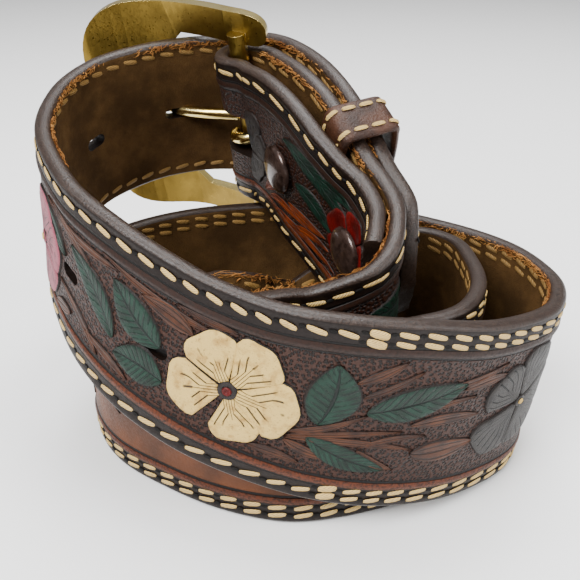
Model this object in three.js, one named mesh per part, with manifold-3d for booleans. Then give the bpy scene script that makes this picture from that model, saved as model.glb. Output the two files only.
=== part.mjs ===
// Western tooled belt: one long leather strap with a heel-bar buckle, a keeper loop and two snaps.
// It is buckled and coiled in three turns that stand on their lower edge.
// Millimetres, +Z up. The coil stands on the floor at z = 0, and its front faces -Y.
import * as THREE from "three";
import { mergeVertices } from "three/addons/utils/BufferGeometryUtils.js";
import Module from "manifold-3d";

const wasm = await Module();
wasm.setup();

// Leather strap
const STRAP_WIDTH = 44.45; // middle of the belt
const END_WIDTH = 38.1; // both ends, past the tapers
const LEATHER = 3.4;
const EDGE_BEVEL = 0.9;
const LAYER_GAP = 0.6; // air between layers that lie on each other
const FOLD_BACK_LENGTH = 66; // from the heel bar to the end of the folded part
const TIP_OVERLAP = 63; // from the heel bar to the tip
const TIP_ROUND = 13; // length of the rounded part of the tip
const TIP_SAG = 3.5; // how far the tip hangs below the strap behind it

// Coil
const COIL_HALF_WIDTH = 54;
const COIL_HALF_DEPTH = 40;
const BUCKLE_LIFT = 3.6; // from the coil's upper edge to the strap's lower edge at the buckle

// Adjusting holes and the slot for the tongue
const HOLE_LENGTH = 6.2;
const HOLE_WIDTH = 2.8;
const HOLE_SPACING = 25.4;
const HOLES_BEHIND_TONGUE = 4;
const SLOT_LENGTH = 9; // from the heel bar's axis along each side of the fold
const SLOT_WIDTH = 10.5;

// Buckle
const BUCKLE_REACH = 42.5; // from the heel bar's axis to the far end
const BUCKLE_HEEL = 7.5; // from the heel bar's axis to the near end of the upper and lower sides
const BUCKLE_SIDE = 7.5; // width of the upper and lower sides
const BUCKLE_SIDE_GAP = 3.2; // from the strap's edges to the upper and lower sides
const BUCKLE_PLATE = 2.6;
const BUCKLE_CORNER = 15;
const BUCKLE_RISE_OFF_CENTRE = -2; // the frame hangs a bit on the heel bar
const OPENING_REACH = 28.5; // from the heel bar's axis to the middle of the opening's far side
const OPENING_CORNER_REACH = 16; // where the opening's sides start to curve in
const CROWN_REACH = 20.5; // from the heel bar's axis to where the plate clears the strap by its fit
const BAR_RADIUS = 2.2;
const BAR_ROOT = 3; // how far the heel bar's ends stand in the upper and lower sides
const FIT = 0.4; // clearance of pieces that sit on or pass through each other
const TWIST_ROOM = 1; // extra room, for the strap twists a bit under the buckle

// Tongue
const TONGUE_RADIUS = 1.5;
const TONGUE_HOLE_REACH = 21; // from the heel bar's axis to the hole that the prong stands in
const TONGUE_REACH = 33; // from the heel bar's axis to the tip of the prong
const TONGUE_TURN_GAP = 0.5; // between neighbouring turns of the wire
const TONGUE_TURN_START = -30; // degrees round the heel bar
const TONGUE_TURN_END = 240;
const TONGUE_TURN_STEP = 30;
const TONGUE_OVER_HOLE = 0.6; // from the strap's middle to the wire's middle in the hole
const TONGUE_DRIFT_EDGE = 1.1; // sideways place over the opening's edge, 1 is that of the hole
const TONGUE_DRIFT_TIP = 1.2; // the same at the tip of the prong

// Keeper loop
const KEEPER_LENGTH = 9.5; // along the strap
const KEEPER_LEATHER = 1.8;
const KEEPER_DISTANCE = 32.5; // from the heel bar
const KEEPER_ROOM = 1; // between the loop and the straps in it
const KEEPER_ARCH = 2.6; // how far the loop's outer side stands off in the middle
const KEEPER_DROP = 0.28; // how far the loop hangs with the tip that it holds

// Snaps that close the folded end
const SNAP_CAP_RADIUS = 5.6;
const SNAP_CAP_HEIGHT = 2.4;
const SNAP_CAP_RIM = 0.7;
const SNAP_POST_RADIUS = 1.8;
const SNAP_BACK_RADIUS = 4.2;
const SNAP_BACK_HEIGHT = 0.9;
const SNAP_SINK = 0.3; // how deep the back lies under the leather's face
const SNAP_DOME = [
  // shares of the cap's radius and height
  { radius: 0.86, height: 0.66 },
  { radius: 0.55, height: 0.92 },
];
const SNAP_1 = { distance: 24.5, across: 0 };
const SNAP_2 = { distance: 52, across: 1.5 };

// Route of the strap from the heel bar round the coil and back to the buckle, as seen in plan.
// across and depth are shares of the coil's half width and half depth, rise is the share of the
// buckle's height that the lower edge has reached, lean is in degrees with the upper edge outward
// when positive, and full is the share of the way from the end width to the full width.
const ROUTE = [
  // folded end, the strap runs right over the back of the coil
  { across: -0.13, depth: 0.93, rise: 1.0, lean: -14, full: 0 },
  { across: -0.02, depth: 0.78, rise: 0.98, lean: -12, full: 0 },
  { across: 0.1, depth: 0.48, rise: 0.91, lean: -7, full: 0 },
  { across: 0.255, depth: 0.11, rise: 0.7, lean: -5, full: 0 },
  // upper right turn
  { across: 0.37, depth: -0.22, rise: 0.54, lean: -3, full: 0 },
  { across: 0.36, depth: -0.49, rise: 0.42, lean: 0, full: 0.06 },
  { across: 0.21, depth: -0.63, rise: 0.27, lean: 1, full: 0.4 },
  { across: -0.02, depth: -0.63, rise: 0.13, lean: 0, full: 0.8 },
  // hidden loop, which leans under the strap that crosses above it
  { across: -0.22, depth: -0.57, rise: 0.045, lean: 1, full: 1 },
  { across: -0.345, depth: -0.42, rise: 0.006, lean: 4, full: 1 },
  { across: -0.29, depth: -0.24, rise: 0, lean: 16, full: 1 },
  { across: -0.09, depth: -0.18, rise: 0, lean: 34, full: 1 },
  { across: 0.14, depth: -0.06, rise: 0, lean: 44, full: 1 },
  { across: 0.34, depth: 0.19, rise: 0, lean: 34, full: 1 },
  { across: 0.53, depth: 0.38, rise: 0, lean: 13, full: 1 },
  // inner right turn
  { across: 0.7, depth: 0.31, rise: 0, lean: 2, full: 1 },
  { across: 0.75, depth: 0.03, rise: 0, lean: 1, full: 1 },
  { across: 0.73, depth: -0.29, rise: 0, lean: 1, full: 1 },
  { across: 0.63, depth: -0.56, rise: 0, lean: -1, full: 1 },
  { across: 0.43, depth: -0.7, rise: 0, lean: -2, full: 1 },
  { across: 0.19, depth: -0.8, rise: 0, lean: -3, full: 1 },
  { across: -0.02, depth: -0.84, rise: 0, lean: -2, full: 1 },
  { across: -0.26, depth: -0.77, rise: 0, lean: 0, full: 1 },
  { across: -0.48, depth: -0.61, rise: 0, lean: 0, full: 1 },
  // left turn on the floor
  { across: -0.69, depth: -0.4, rise: 0, lean: 0, full: 1 },
  { across: -0.815, depth: -0.15, rise: 0, lean: 0, full: 1 },
  { across: -0.86, depth: 0.12, rise: 0, lean: 0, full: 1 },
  { across: -0.79, depth: 0.4, rise: 0, lean: 0, full: 1 },
  { across: -0.58, depth: 0.66, rise: 0, lean: 0, full: 1 },
  { across: -0.28, depth: 0.82, rise: 0, lean: 0, full: 1 },
  { across: 0.1, depth: 0.87, rise: 0, lean: 0, full: 1 },
  { across: 0.47, depth: 0.76, rise: 0, lean: -3, full: 1 },
  { across: 0.76, depth: 0.53, rise: 0, lean: -4, full: 1 },
  // outer right turn
  { across: 0.94, depth: 0.26, rise: 0, lean: -2, full: 1 },
  { across: 1.0, depth: -0.01, rise: 0, lean: 3, full: 1 },
  { across: 1.0, depth: -0.27, rise: 0, lean: 7, full: 1 },
  { across: 0.9, depth: -0.53, rise: 0.01, lean: 8, full: 1 },
  { across: 0.65, depth: -0.79, rise: 0.06, lean: 7, full: 1 },
  { across: 0.37, depth: -0.95, rise: 0.14, lean: 5, full: 1 },
  { across: 0.1, depth: -1.0, rise: 0.225, lean: 3, full: 0.75 },
  { across: -0.15, depth: -0.95, rise: 0.322, lean: -2, full: 0.25 },
  { across: -0.4, depth: -0.83, rise: 0.43, lean: -6, full: 0 },
  { across: -0.64, depth: -0.62, rise: 0.542, lean: -6, full: 0 },
  // upper left turn
  { across: -0.84, depth: -0.32, rise: 0.648, lean: -3, full: 0 },
  { across: -0.97, depth: 0.06, rise: 0.76, lean: -3, full: 0 },
  { across: -0.98, depth: 0.48, rise: 0.85, lean: -5, full: 0 },
  { across: -0.88, depth: 0.82, rise: 0.92, lean: -8, full: 0 },
  { across: -0.69, depth: 1.04, rise: 0.97, lean: -12, full: 0 },
  { across: -0.47, depth: 1.14, rise: 1.0, lean: -14, full: 0 },
  { across: -0.25, depth: 1.14, rise: 1.01, lean: -14, full: 0 },
];

// How far the folded end and the tip stand off the strap between them. run is the share of the
// way from the heel bar to their ends, 1 is the distance at the heel bar, and 0 is the distance
// where the leathers lie on each other.
const LAYERS = [
  { run: 0, fold: 1, tip: 1 },
  { run: 0.15, fold: 1, tip: 0.9 },
  { run: 0.48, fold: 0.72, tip: 0.45 },
  { run: 0.7, fold: 0.1, tip: 0.12 },
  { run: 1, fold: 0, tip: 0 },
];

// Side view of the buckle's plate: reach is the share of the way from the heel bar to the far end,
// and crown the share of its greatest height over the heel bar.
const PLATE_BOW = [
  { reach: -0.25, crown: -0.2 },
  { reach: 0, crown: 0.2 },
  { reach: 0.22, crown: 0.64 },
  { reach: 0.48, crown: 1 },
  { reach: 0.74, crown: 1.02 },
  { reach: 1.08, crown: 0.7 },
];

// The tongue's wire from its turn to its hole: share of the way, and height over the turn.
const TONGUE_CLIMB = [
  { share: 0.35, height: 0.8 },
  { share: 0.7, height: 1.9 },
];

const LEATHER_BROWN = { color: 0x5a3d2c, roughness: 0.6, metalness: 0 };
const LEATHER_LOOP = { color: 0x6e5244, roughness: 0.6, metalness: 0 };
const BRASS = { color: 0xb79a55, roughness: 0.28, metalness: 1 };
const SNAP_METAL = { color: 0x5d4c46, roughness: 0.35, metalness: 0.8 };

const SECTIONS_PER_ROW = 3;
const FOLD_SECTIONS = 12;
const TIP_STATIONS = 6;
const FOLD_SECTION_LENGTH = 3;
const DIVISIONS_PER_ROW = 40; // of the strap's measured length
const ROW_STEP = 0.02; // of the search for a reach along the strap
const BOW_STEP = 0.002; // of the search for a reach along the bowed plate
const BUCKLE_AIM_ROW = 46.6; // row of the route that the buckle's far end points at
const BOW_STEPS = 24;
const WIRE_STEPS = 44;
const ROUND_SEGMENTS = 24;
const NARROWEST_TIP = 0.3; // share of the width at the very tip
const BUCKLE_HEIGHT = STRAP_WIDTH + BUCKLE_LIFT;
const BEND_RADIUS = BAR_RADIUS + FIT + LEATHER / 2;
const LAYER_PITCH = LEATHER + LAYER_GAP;
const TIP_PITCH_AT_BAR = LAYER_PITCH + BUCKLE_PLATE;
const PLATE_STACK = LEATHER / 2 + BUCKLE_PLATE / 2 + FIT + TWIST_ROOM;

// Reads a table at a share of the run, in straight lines between its entries.
function readTable(table, run, column) {
  const next = table.findIndex((entry) => entry.run >= run);
  if (next === 0) {
    return table[0][column];
  }
  if (next < 0) {
    return table[table.length - 1][column];
  }
  const [from, to] = [table[next - 1], table[next]];
  return THREE.MathUtils.mapLinear(run, from.run, to.run, from[column], to[column]);
}

// Distance from the strap to its folded end, and from the strap to the tip that lies over it.
function foldOffset(distance) {
  const share = readTable(LAYERS, distance / FOLD_BACK_LENGTH, "fold");
  return THREE.MathUtils.lerp(LAYER_PITCH, 2 * BEND_RADIUS, share);
}

function tipOffset(distance) {
  const share = readTable(LAYERS, distance / TIP_OVERLAP, "tip");
  return THREE.MathUtils.lerp(LAYER_PITCH, TIP_PITCH_AT_BAR, share);
}

// Centre line of a strap through stations that hold its middle, upward direction and width.
class StrapLine {
  constructor(stations) {
    const widths = stations.map((s) => new THREE.Vector3(s.width, 0, 0));
    this.rows = stations.length - 1;
    this.middle = new THREE.CatmullRomCurve3(stations.map((s) => s.middle), false, "catmullrom");
    this.upward = new THREE.CatmullRomCurve3(stations.map((s) => s.up), false, "catmullrom");
    this.widths = new THREE.CatmullRomCurve3(widths, false, "catmullrom");
    this.middle.arcLengthDivisions = this.rows * DIVISIONS_PER_ROW;
  }

  // Middle, travel, up and outward directions and width at a share of the rows.
  at(share) {
    const travel = this.middle.getTangent(share);
    const up = this.upward.getPoint(share).projectOnPlane(travel).normalize();
    const out = new THREE.Vector3().crossVectors(up, travel).normalize();
    const width = THREE.MathUtils.clamp(this.widths.getPoint(share).x, END_WIDTH, STRAP_WIDTH);
    return { middle: this.middle.getPoint(share), travel, up, out, width };
  }

  atDistance(distance) {
    return this.at(this.middle.getUtoTmapping(0, distance));
  }
}

// Stations from the route's table. A leaning strap stands on a corner of its lower edge.
function routeStations() {
  const points = ROUTE.map(
    (r) => new THREE.Vector3(r.across * COIL_HALF_WIDTH, r.depth * COIL_HALF_DEPTH, 0));
  const plan = new THREE.CatmullRomCurve3(points, false, "catmullrom");
  return ROUTE.map((r, index) => {
    const heading = plan.getTangent(index / (ROUTE.length - 1));
    const outward = new THREE.Vector3(-heading.y, heading.x, 0);
    const lean = THREE.MathUtils.degToRad(r.lean);
    const width = THREE.MathUtils.lerp(END_WIDTH, STRAP_WIDTH, r.full);
    const up = new THREE.Vector3(0, 0, Math.cos(lean)).addScaledVector(outward, Math.sin(lean));
    const footing = (LEATHER / 2 - EDGE_BEVEL) * Math.sin(Math.abs(lean));
    const middle = points[index].clone();
    middle.z = r.rise * BUCKLE_HEIGHT + (width / 2) * Math.cos(lean) + footing;
    return { middle, up, width };
  });
}

// The route, with the tip laid over its own start outside the strap and the heel bar.
function beltStations() {
  const stations = routeStations();
  const start = new StrapLine(stations);
  for (let step = 0; step <= TIP_STATIONS; step += 1) {
    const share = step / TIP_STATIONS;
    const distance = share * TIP_OVERLAP;
    const under = start.atDistance(distance);
    const middle = under.middle.clone().addScaledVector(under.out, tipOffset(distance));
    middle.addScaledVector(under.up, -TIP_SAG * share * share);
    stations.push({ middle, up: under.up, width: END_WIDTH });
  }
  return stations;
}

const belt = new StrapLine(beltStations());
const barFrame = belt.at(0);
const barCentre = barFrame.middle.clone().addScaledVector(barFrame.out, -BEND_RADIUS);

// Faces a closed indexed mesh outward.
function faceOut(geometry) {
  const places = geometry.attributes.position;
  const index = geometry.index.array;
  const corner = (at) => new THREE.Vector3().fromBufferAttribute(places, index[at]);
  let volume = 0;
  for (let at = 0; at < index.length; at += 3) {
    volume += corner(at).dot(corner(at + 1).cross(corner(at + 2)));
  }
  if (volume < 0) {
    for (let at = 0; at < index.length; at += 3) {
      [index[at + 1], index[at + 2]] = [index[at + 2], index[at + 1]];
    }
  }
  return geometry;
}

function toSolid(geometry) {
  const bare = geometry.clone();
  bare.deleteAttribute("normal");
  bare.deleteAttribute("uv");
  const merged = faceOut(mergeVertices(bare, 1e-4));
  return new wasm.Manifold(
    new wasm.Mesh({
      numProp: 3,
      vertProperties: new Float32Array(merged.attributes.position.array),
      triVerts: new Uint32Array(merged.index.array),
    }),
  );
}

function toGeometry(solid) {
  const mesh = solid.getMesh();
  const geometry = new THREE.BufferGeometry();
  geometry.setAttribute("position", new THREE.Float32BufferAttribute(mesh.vertProperties, 3));
  geometry.setIndex(new THREE.Uint32BufferAttribute(mesh.triVerts, 1));
  geometry.computeVertexNormals();
  return geometry;
}

// Closed geometry from rings of points that all have the same length, with flat ends.
function loftRings(rings) {
  const sides = rings[0].length;
  const last = (rings.length - 1) * sides;
  const index = [];
  for (let start = 0; start < last; start += sides) {
    for (let side = 0; side < sides; side += 1) {
      const near = start + side;
      const next = start + ((side + 1) % sides);
      index.push(near, next, next + sides, near, next + sides, near + sides);
    }
  }
  for (let side = 1; side < sides - 1; side += 1) {
    index.push(0, side + 1, side);
    index.push(last, last + side, last + side + 1);
  }
  const geometry = new THREE.BufferGeometry().setFromPoints(rings.flat());
  geometry.setIndex(index);
  return geometry;
}

// Matrix that stands a piece at a place, with its X, Y and Z along three directions.
function standing(origin, x, y, z) {
  return new THREE.Matrix4().makeBasis(x, y, z).setPosition(origin);
}

// Cross-section of the strap with bevelled edges.
function strapRing(frame) {
  const half = frame.width / 2;
  const face = LEATHER / 2;
  const quarter = [
    [half - EDGE_BEVEL, face],
    [half, face - EDGE_BEVEL],
  ];
  const corners = [
    ...quarter,
    ...quarter.map(([u, n]) => [u, -n]).reverse(),
    ...quarter.map(([u, n]) => [-u, -n]),
    ...quarter.map(([u, n]) => [-u, n]).reverse(),
  ];
  return corners.map(([u, n]) =>
    frame.middle.clone().addScaledVector(frame.up, u).addScaledVector(frame.out, n));
}

// Frames of the whole strap: folded end, round the heel bar, round the coil, and the tip.
function strapFrames() {
  const frames = [];
  const foldSteps = Math.round(FOLD_BACK_LENGTH / FOLD_SECTION_LENGTH);
  for (let step = foldSteps; step > 0; step -= 1) {
    const distance = (step / foldSteps) * FOLD_BACK_LENGTH;
    const beside = belt.atDistance(distance);
    beside.middle.addScaledVector(beside.out, -foldOffset(distance));
    beside.out.negate();
    frames.push(beside);
  }
  for (let step = 0; step < FOLD_SECTIONS; step += 1) {
    const angle = (step / FOLD_SECTIONS) * Math.PI;
    const out = barFrame.out.clone().multiplyScalar(-Math.cos(angle));
    out.addScaledVector(barFrame.travel, -Math.sin(angle));
    const middle = barCentre.clone().addScaledVector(out, BEND_RADIUS);
    frames.push({ middle, up: barFrame.up, out, width: END_WIDTH });
  }
  const sections = belt.rows * SECTIONS_PER_ROW;
  for (let section = 0; section <= sections; section += 1) {
    frames.push(belt.at(section / sections));
  }
  return roundTip(frames);
}

// Narrows the last frames to a rounded tip.
function roundTip(frames) {
  let left = 0;
  for (let index = frames.length - 1; index > 0 && left < TIP_ROUND; index -= 1) {
    const reach = 1 - left / TIP_ROUND;
    frames[index].width *= Math.max(Math.sqrt(1 - reach * reach), NARROWEST_TIP);
    left += frames[index].middle.distanceTo(frames[index - 1].middle);
  }
  return frames;
}

// A round-ended bar, long along X and centred on the origin, from one height to another along Z.
function roundEndedBar(length, width, bottom, top) {
  const reach = (length - width) / 2;
  const shape = new THREE.Shape();
  shape.absarc(reach, 0, width / 2, -Math.PI / 2, Math.PI / 2, false);
  shape.absarc(-reach, 0, width / 2, Math.PI / 2, (3 * Math.PI) / 2, false);
  const bar = new THREE.ExtrudeGeometry(shape, {
    depth: top - bottom,
    bevelEnabled: false,
    curveSegments: 6,
  });
  return bar.translate(0, 0, bottom);
}

// The buckle's own directions: along from the heel bar to the far end, across upward on the
// heel bar, and away outward from the coil.
const alongTarget = belt.at(BUCKLE_AIM_ROW / belt.rows).middle;
const along = alongTarget.clone().sub(barCentre).projectOnPlane(barFrame.up).normalize();
const across = barFrame.up;
const away = new THREE.Vector3().crossVectors(along, across).normalize();
const BUCKLE_PLACE = standing(barCentre, along, across, away);

// Share of the belt's rows where it passes a given reach under or in the buckle.
function shareAtReach(reach) {
  let share = (ROUTE.length - 1) / belt.rows;
  const step = ROW_STEP / belt.rows;
  while (belt.at(share).middle.sub(barCentre).dot(along) < reach) {
    share -= step;
  }
  return share;
}

// Belt's middle in the buckle's own directions.
function beltInBuckle(reach) {
  const place = belt.at(shareAtReach(reach)).middle.sub(barCentre);
  return { across: place.dot(across), away: place.dot(away) };
}

const CROWN = beltInBuckle(CROWN_REACH).away + PLATE_STACK;
const bow = new THREE.SplineCurve(
  PLATE_BOW.map((b) => new THREE.Vector2(b.reach * BUCKLE_REACH, b.crown * CROWN)));

// Height of the bowed plate's middle over the heel bar.
function bowHeight(reach) {
  let share = 0;
  while (bow.getPoint(share).x < reach) {
    share += BOW_STEP;
  }
  return bow.getPoint(share).y;
}

// Outline of the buckle with its opening, which is open towards the strap's fold.
function buckleOutline() {
  const inner = END_WIDTH / 2 + BUCKLE_SIDE_GAP;
  const outer = inner + BUCKLE_SIDE;
  const near = -BUCKLE_HEEL;
  const round = BUCKLE_SIDE / 2;
  const shape = new THREE.Shape();
  shape.moveTo(near, inner + round);
  shape.quadraticCurveTo(near, outer, near + BUCKLE_HEEL, outer);
  shape.lineTo(BUCKLE_REACH - BUCKLE_CORNER, outer);
  shape.quadraticCurveTo(BUCKLE_REACH, outer, BUCKLE_REACH, outer - BUCKLE_CORNER);
  shape.lineTo(BUCKLE_REACH, -outer + BUCKLE_CORNER);
  shape.quadraticCurveTo(BUCKLE_REACH, -outer, BUCKLE_REACH - BUCKLE_CORNER, -outer);
  shape.lineTo(near + BUCKLE_HEEL, -outer);
  shape.quadraticCurveTo(near, -outer, near, -inner - round);
  shape.quadraticCurveTo(near, -inner, near + round, -inner);
  shape.lineTo(OPENING_CORNER_REACH, -inner);
  shape.quadraticCurveTo(2 * OPENING_REACH - OPENING_CORNER_REACH, 0, OPENING_CORNER_REACH, inner);
  shape.lineTo(near + round, inner);
  shape.quadraticCurveTo(near, inner, near, inner + round);
  return shape;
}

// The plate is what an upright outline and a bowed slab have in common. The heel bar joins it.
function buckleSolid() {
  const half = END_WIDTH / 2 + BUCKLE_SIDE_GAP + BUCKLE_SIDE;
  const thick = BUCKLE_PLATE / 2;
  const spine = bow.getPoints(BOW_STEPS);
  const normals = spine.map((_, index) => {
    const heading = bow.getTangent(index / BOW_STEPS);
    return new THREE.Vector2(-heading.y, heading.x);
  });
  const outerSide = spine.map((p, index) => p.clone().addScaledVector(normals[index], thick));
  const innerSide = spine.map((p, index) => p.clone().addScaledVector(normals[index], -thick));
  const slabShape = new THREE.Shape([...outerSide, ...innerSide.reverse()]);
  const slabReach = 2 * half; // past the outline on both sides
  const slab = new THREE.ExtrudeGeometry(slabShape, { depth: 2 * slabReach, bevelEnabled: false });
  slab.translate(0, 0, -slabReach).rotateX(Math.PI / 2);
  const outlineReach = 3 * CROWN; // past the bow on both sides
  const outline = new THREE.ExtrudeGeometry(buckleOutline(), {
    depth: 2 * outlineReach,
    bevelEnabled: false,
    curveSegments: 12,
  });
  outline.translate(0, BUCKLE_RISE_OFF_CENTRE, -outlineReach);
  const barLength = 2 * (END_WIDTH / 2 + BUCKLE_SIDE_GAP + BAR_ROOT);
  const bar = new THREE.CylinderGeometry(BAR_RADIUS, BAR_RADIUS, barLength, ROUND_SEGMENTS);
  bar.translate(0, BUCKLE_RISE_OFF_CENTRE, 0);
  const plate = toSolid(slab).intersect(toSolid(outline));
  return toSolid(toGeometry(plate.add(toSolid(bar))).applyMatrix4(BUCKLE_PLACE));
}

// Centre line of the tongue's wire: one turn round the heel bar, then out through the hole.
function tongueLine() {
  const turn = BAR_RADIUS + FIT + TONGUE_RADIUS;
  const drop = 2 * TONGUE_RADIUS + TONGUE_TURN_GAP;
  const points = [];
  for (let angle = TONGUE_TURN_START; angle <= TONGUE_TURN_END; angle += TONGUE_TURN_STEP) {
    const round = THREE.MathUtils.degToRad(-angle);
    const share = (angle - TONGUE_TURN_START) / (TONGUE_TURN_END - TONGUE_TURN_START);
    points.push(new THREE.Vector3(
      turn * Math.cos(round), drop * (share - 1), turn * Math.sin(round)));
  }
  const hole = beltInBuckle(TONGUE_HOLE_REACH);
  const over = BUCKLE_PLATE / 2 + TONGUE_RADIUS + FIT;
  const edge = OPENING_REACH - TONGUE_RADIUS;
  points.push(new THREE.Vector3(0, 0, turn));
  for (const { share, height } of TONGUE_CLIMB) {
    points.push(new THREE.Vector3(TONGUE_HOLE_REACH * share, hole.across * share, turn + height));
  }
  const atEdge = hole.across * TONGUE_DRIFT_EDGE;
  const atTip = hole.across * TONGUE_DRIFT_TIP;
  points.push(new THREE.Vector3(TONGUE_HOLE_REACH, hole.across, hole.away + TONGUE_OVER_HOLE));
  points.push(new THREE.Vector3(edge, atEdge, bowHeight(OPENING_REACH) + over));
  points.push(new THREE.Vector3(TONGUE_REACH, atTip, bowHeight(TONGUE_REACH) + over));
  return new THREE.CatmullRomCurve3(points, false, "centripetal");
}

function tongueSolid(radius) {
  const section = new THREE.Shape().absarc(0, 0, radius, 0, 2 * Math.PI, false);
  const wire = new THREE.ExtrudeGeometry(section, {
    extrudePath: tongueLine(),
    steps: WIRE_STEPS,
    curveSegments: 8,
  });
  return toSolid(wire.applyMatrix4(BUCKLE_PLACE));
}

// A snap at its distance from the heel bar: its own Y points from its back to its domed cap.
function snapFrame(snap) {
  const under = belt.atDistance(snap.distance);
  const origin = under.middle.clone().addScaledVector(under.up, snap.across);
  const inward = under.out.clone().negate();
  const third = new THREE.Vector3().crossVectors(under.travel, inward);
  return standing(origin, under.travel, inward, third);
}

// Half section of a snap from its back to its cap, grown by a clearance where it cuts the leather.
function snapGeometry(snap) {
  const backOut = -LEATHER / 2 + SNAP_SINK;
  const backIn = backOut + SNAP_BACK_HEIGHT;
  const capBase = foldOffset(snap.distance) + LEATHER / 2 + FIT;
  const capTop = capBase + SNAP_CAP_HEIGHT;
  const profile = [
    new THREE.Vector2(0, backOut),
    new THREE.Vector2(SNAP_BACK_RADIUS, backOut),
    new THREE.Vector2(SNAP_BACK_RADIUS, backIn),
    new THREE.Vector2(SNAP_POST_RADIUS, backIn),
    new THREE.Vector2(SNAP_POST_RADIUS, capBase),
    new THREE.Vector2(SNAP_CAP_RADIUS, capBase),
    new THREE.Vector2(SNAP_CAP_RADIUS, capBase + SNAP_CAP_RIM),
    ...SNAP_DOME.map(
      (d) => new THREE.Vector2(SNAP_CAP_RADIUS * d.radius, capBase + SNAP_CAP_HEIGHT * d.height)),
    new THREE.Vector2(0, capTop),
  ];
  return new THREE.LatheGeometry(profile, ROUND_SEGMENTS).applyMatrix4(snapFrame(snap));
}

// What a snap needs cut from the leather: a hole for its post, a recess for its back, and the bed
// that its cap has pressed where the leather curves.
function snapCut(snap) {
  const outside = -LEATHER / 2 - FIT / 2;
  const recessFloor = -LEATHER / 2 + SNAP_SINK + SNAP_BACK_HEIGHT + FIT;
  const capBed = foldOffset(snap.distance) + LEATHER / 2;
  const inside = capBed + SNAP_CAP_HEIGHT;
  const profile = [
    new THREE.Vector2(0, outside),
    new THREE.Vector2(SNAP_BACK_RADIUS + FIT, outside),
    new THREE.Vector2(SNAP_BACK_RADIUS + FIT, recessFloor),
    new THREE.Vector2(SNAP_POST_RADIUS + FIT, recessFloor),
    new THREE.Vector2(SNAP_POST_RADIUS + FIT, capBed),
    new THREE.Vector2(SNAP_CAP_RADIUS + FIT, capBed),
    new THREE.Vector2(SNAP_CAP_RADIUS + FIT, inside),
    new THREE.Vector2(0, inside),
  ];
  return toSolid(new THREE.LatheGeometry(profile, ROUND_SEGMENTS).applyMatrix4(snapFrame(snap)));
}

// Slot for the tongue: round the fold, and a round-ended cut along both sides of it.
function slotSolid() {
  const foldFace = BEND_RADIUS + LEATHER / 2 + FIT;
  const place = standing(barCentre, barFrame.travel, barFrame.up,
    new THREE.Vector3().crossVectors(barFrame.travel, barFrame.up));
  const round = new THREE.CylinderGeometry(foldFace, foldFace, SLOT_WIDTH, ROUND_SEGMENTS);
  const sides = roundEndedBar(2 * SLOT_LENGTH, SLOT_WIDTH, -foldFace, foldFace);
  const shift = (SLOT_WIDTH - foldFace) / 2; // further along the coil than along the fold
  const slot = toSolid(round).add(toSolid(sides.translate(shift, 0, 0)));
  return toSolid(toGeometry(slot).applyMatrix4(place));
}

// An oblong hole across the strap at a share of its rows.
function holeSolid(share) {
  const at = belt.at(share);
  const hole = roundEndedBar(HOLE_LENGTH, HOLE_WIDTH, -LEATHER, LEATHER);
  return toSolid(hole.applyMatrix4(standing(at.middle, at.travel, at.up, at.out.negate())));
}

function strapSolid() {
  let solid = toSolid(loftRings(strapFrames().map(strapRing)));
  const tongueHole = shareAtReach(TONGUE_HOLE_REACH);
  const lengths = belt.middle.getLengths();
  const toTongue = lengths[Math.round(tongueHole * (lengths.length - 1))];
  const cuts = [tongueSolid(TONGUE_RADIUS + FIT), slotSolid(), snapCut(SNAP_1), snapCut(SNAP_2)];
  for (let hole = 0; hole <= HOLES_BEHIND_TONGUE; hole += 1) {
    cuts.push(holeSolid(belt.middle.getUtoTmapping(0, toTongue - hole * HOLE_SPACING)));
  }
  for (const cut of cuts) {
    solid = solid.subtract(cut);
  }
  return solid;
}

// Closed outline of the keeper loop: along X outward from the coil, along Y upward.
function loopOutline(grow, arch) {
  const halfHeight = END_WIDTH / 2 + KEEPER_ROOM + grow;
  const inner = -LEATHER / 2 - KEEPER_ROOM - grow;
  const outer = tipOffset(KEEPER_DISTANCE) + LEATHER / 2 + KEEPER_ROOM + grow;
  const corner = KEEPER_ROOM + grow;
  const path = new THREE.Shape();
  path.moveTo(inner, -halfHeight + corner);
  path.quadraticCurveTo(inner, -halfHeight, inner + corner, -halfHeight);
  path.lineTo(outer - corner, -halfHeight);
  path.quadraticCurveTo(outer, -halfHeight, outer, -halfHeight + corner);
  path.quadraticCurveTo(outer + 2 * arch, 0, outer, halfHeight - corner);
  path.quadraticCurveTo(outer, halfHeight, outer - corner, halfHeight);
  path.lineTo(inner + corner, halfHeight);
  path.quadraticCurveTo(inner, halfHeight, inner, halfHeight - corner);
  return path;
}

function keeperGeometry() {
  const at = belt.atDistance(KEEPER_DISTANCE);
  const shape = loopOutline(KEEPER_LEATHER, KEEPER_ARCH);
  shape.holes.push(loopOutline(0, KEEPER_ARCH));
  const loop = new THREE.ExtrudeGeometry(shape, {
    depth: KEEPER_LENGTH,
    bevelEnabled: false,
    curveSegments: 8,
  });
  loop.translate(0, -KEEPER_DROP, -KEEPER_LENGTH / 2);
  const forward = new THREE.Vector3().crossVectors(at.out, at.up);
  return loop.applyMatrix4(standing(at.middle, at.out, at.up, forward));
}

const model = new THREE.Group();
model.name = "western_tooled_belt";

function addPiece(name, geometry, look) {
  const piece = new THREE.Mesh(geometry, new THREE.MeshStandardMaterial(look));
  piece.name = name;
  model.add(piece);
}

addPiece("strap", toGeometry(strapSolid()), LEATHER_BROWN);
addPiece("keeper_loop", toGeometry(toSolid(keeperGeometry())), LEATHER_LOOP);
addPiece("buckle_frame", toGeometry(buckleSolid()), BRASS);
addPiece("tongue", toGeometry(tongueSolid(TONGUE_RADIUS)), BRASS);
addPiece("snap_1", toGeometry(toSolid(snapGeometry(SNAP_1))), SNAP_METAL);
addPiece("snap_2", toGeometry(toSolid(snapGeometry(SNAP_2))), SNAP_METAL);

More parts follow.
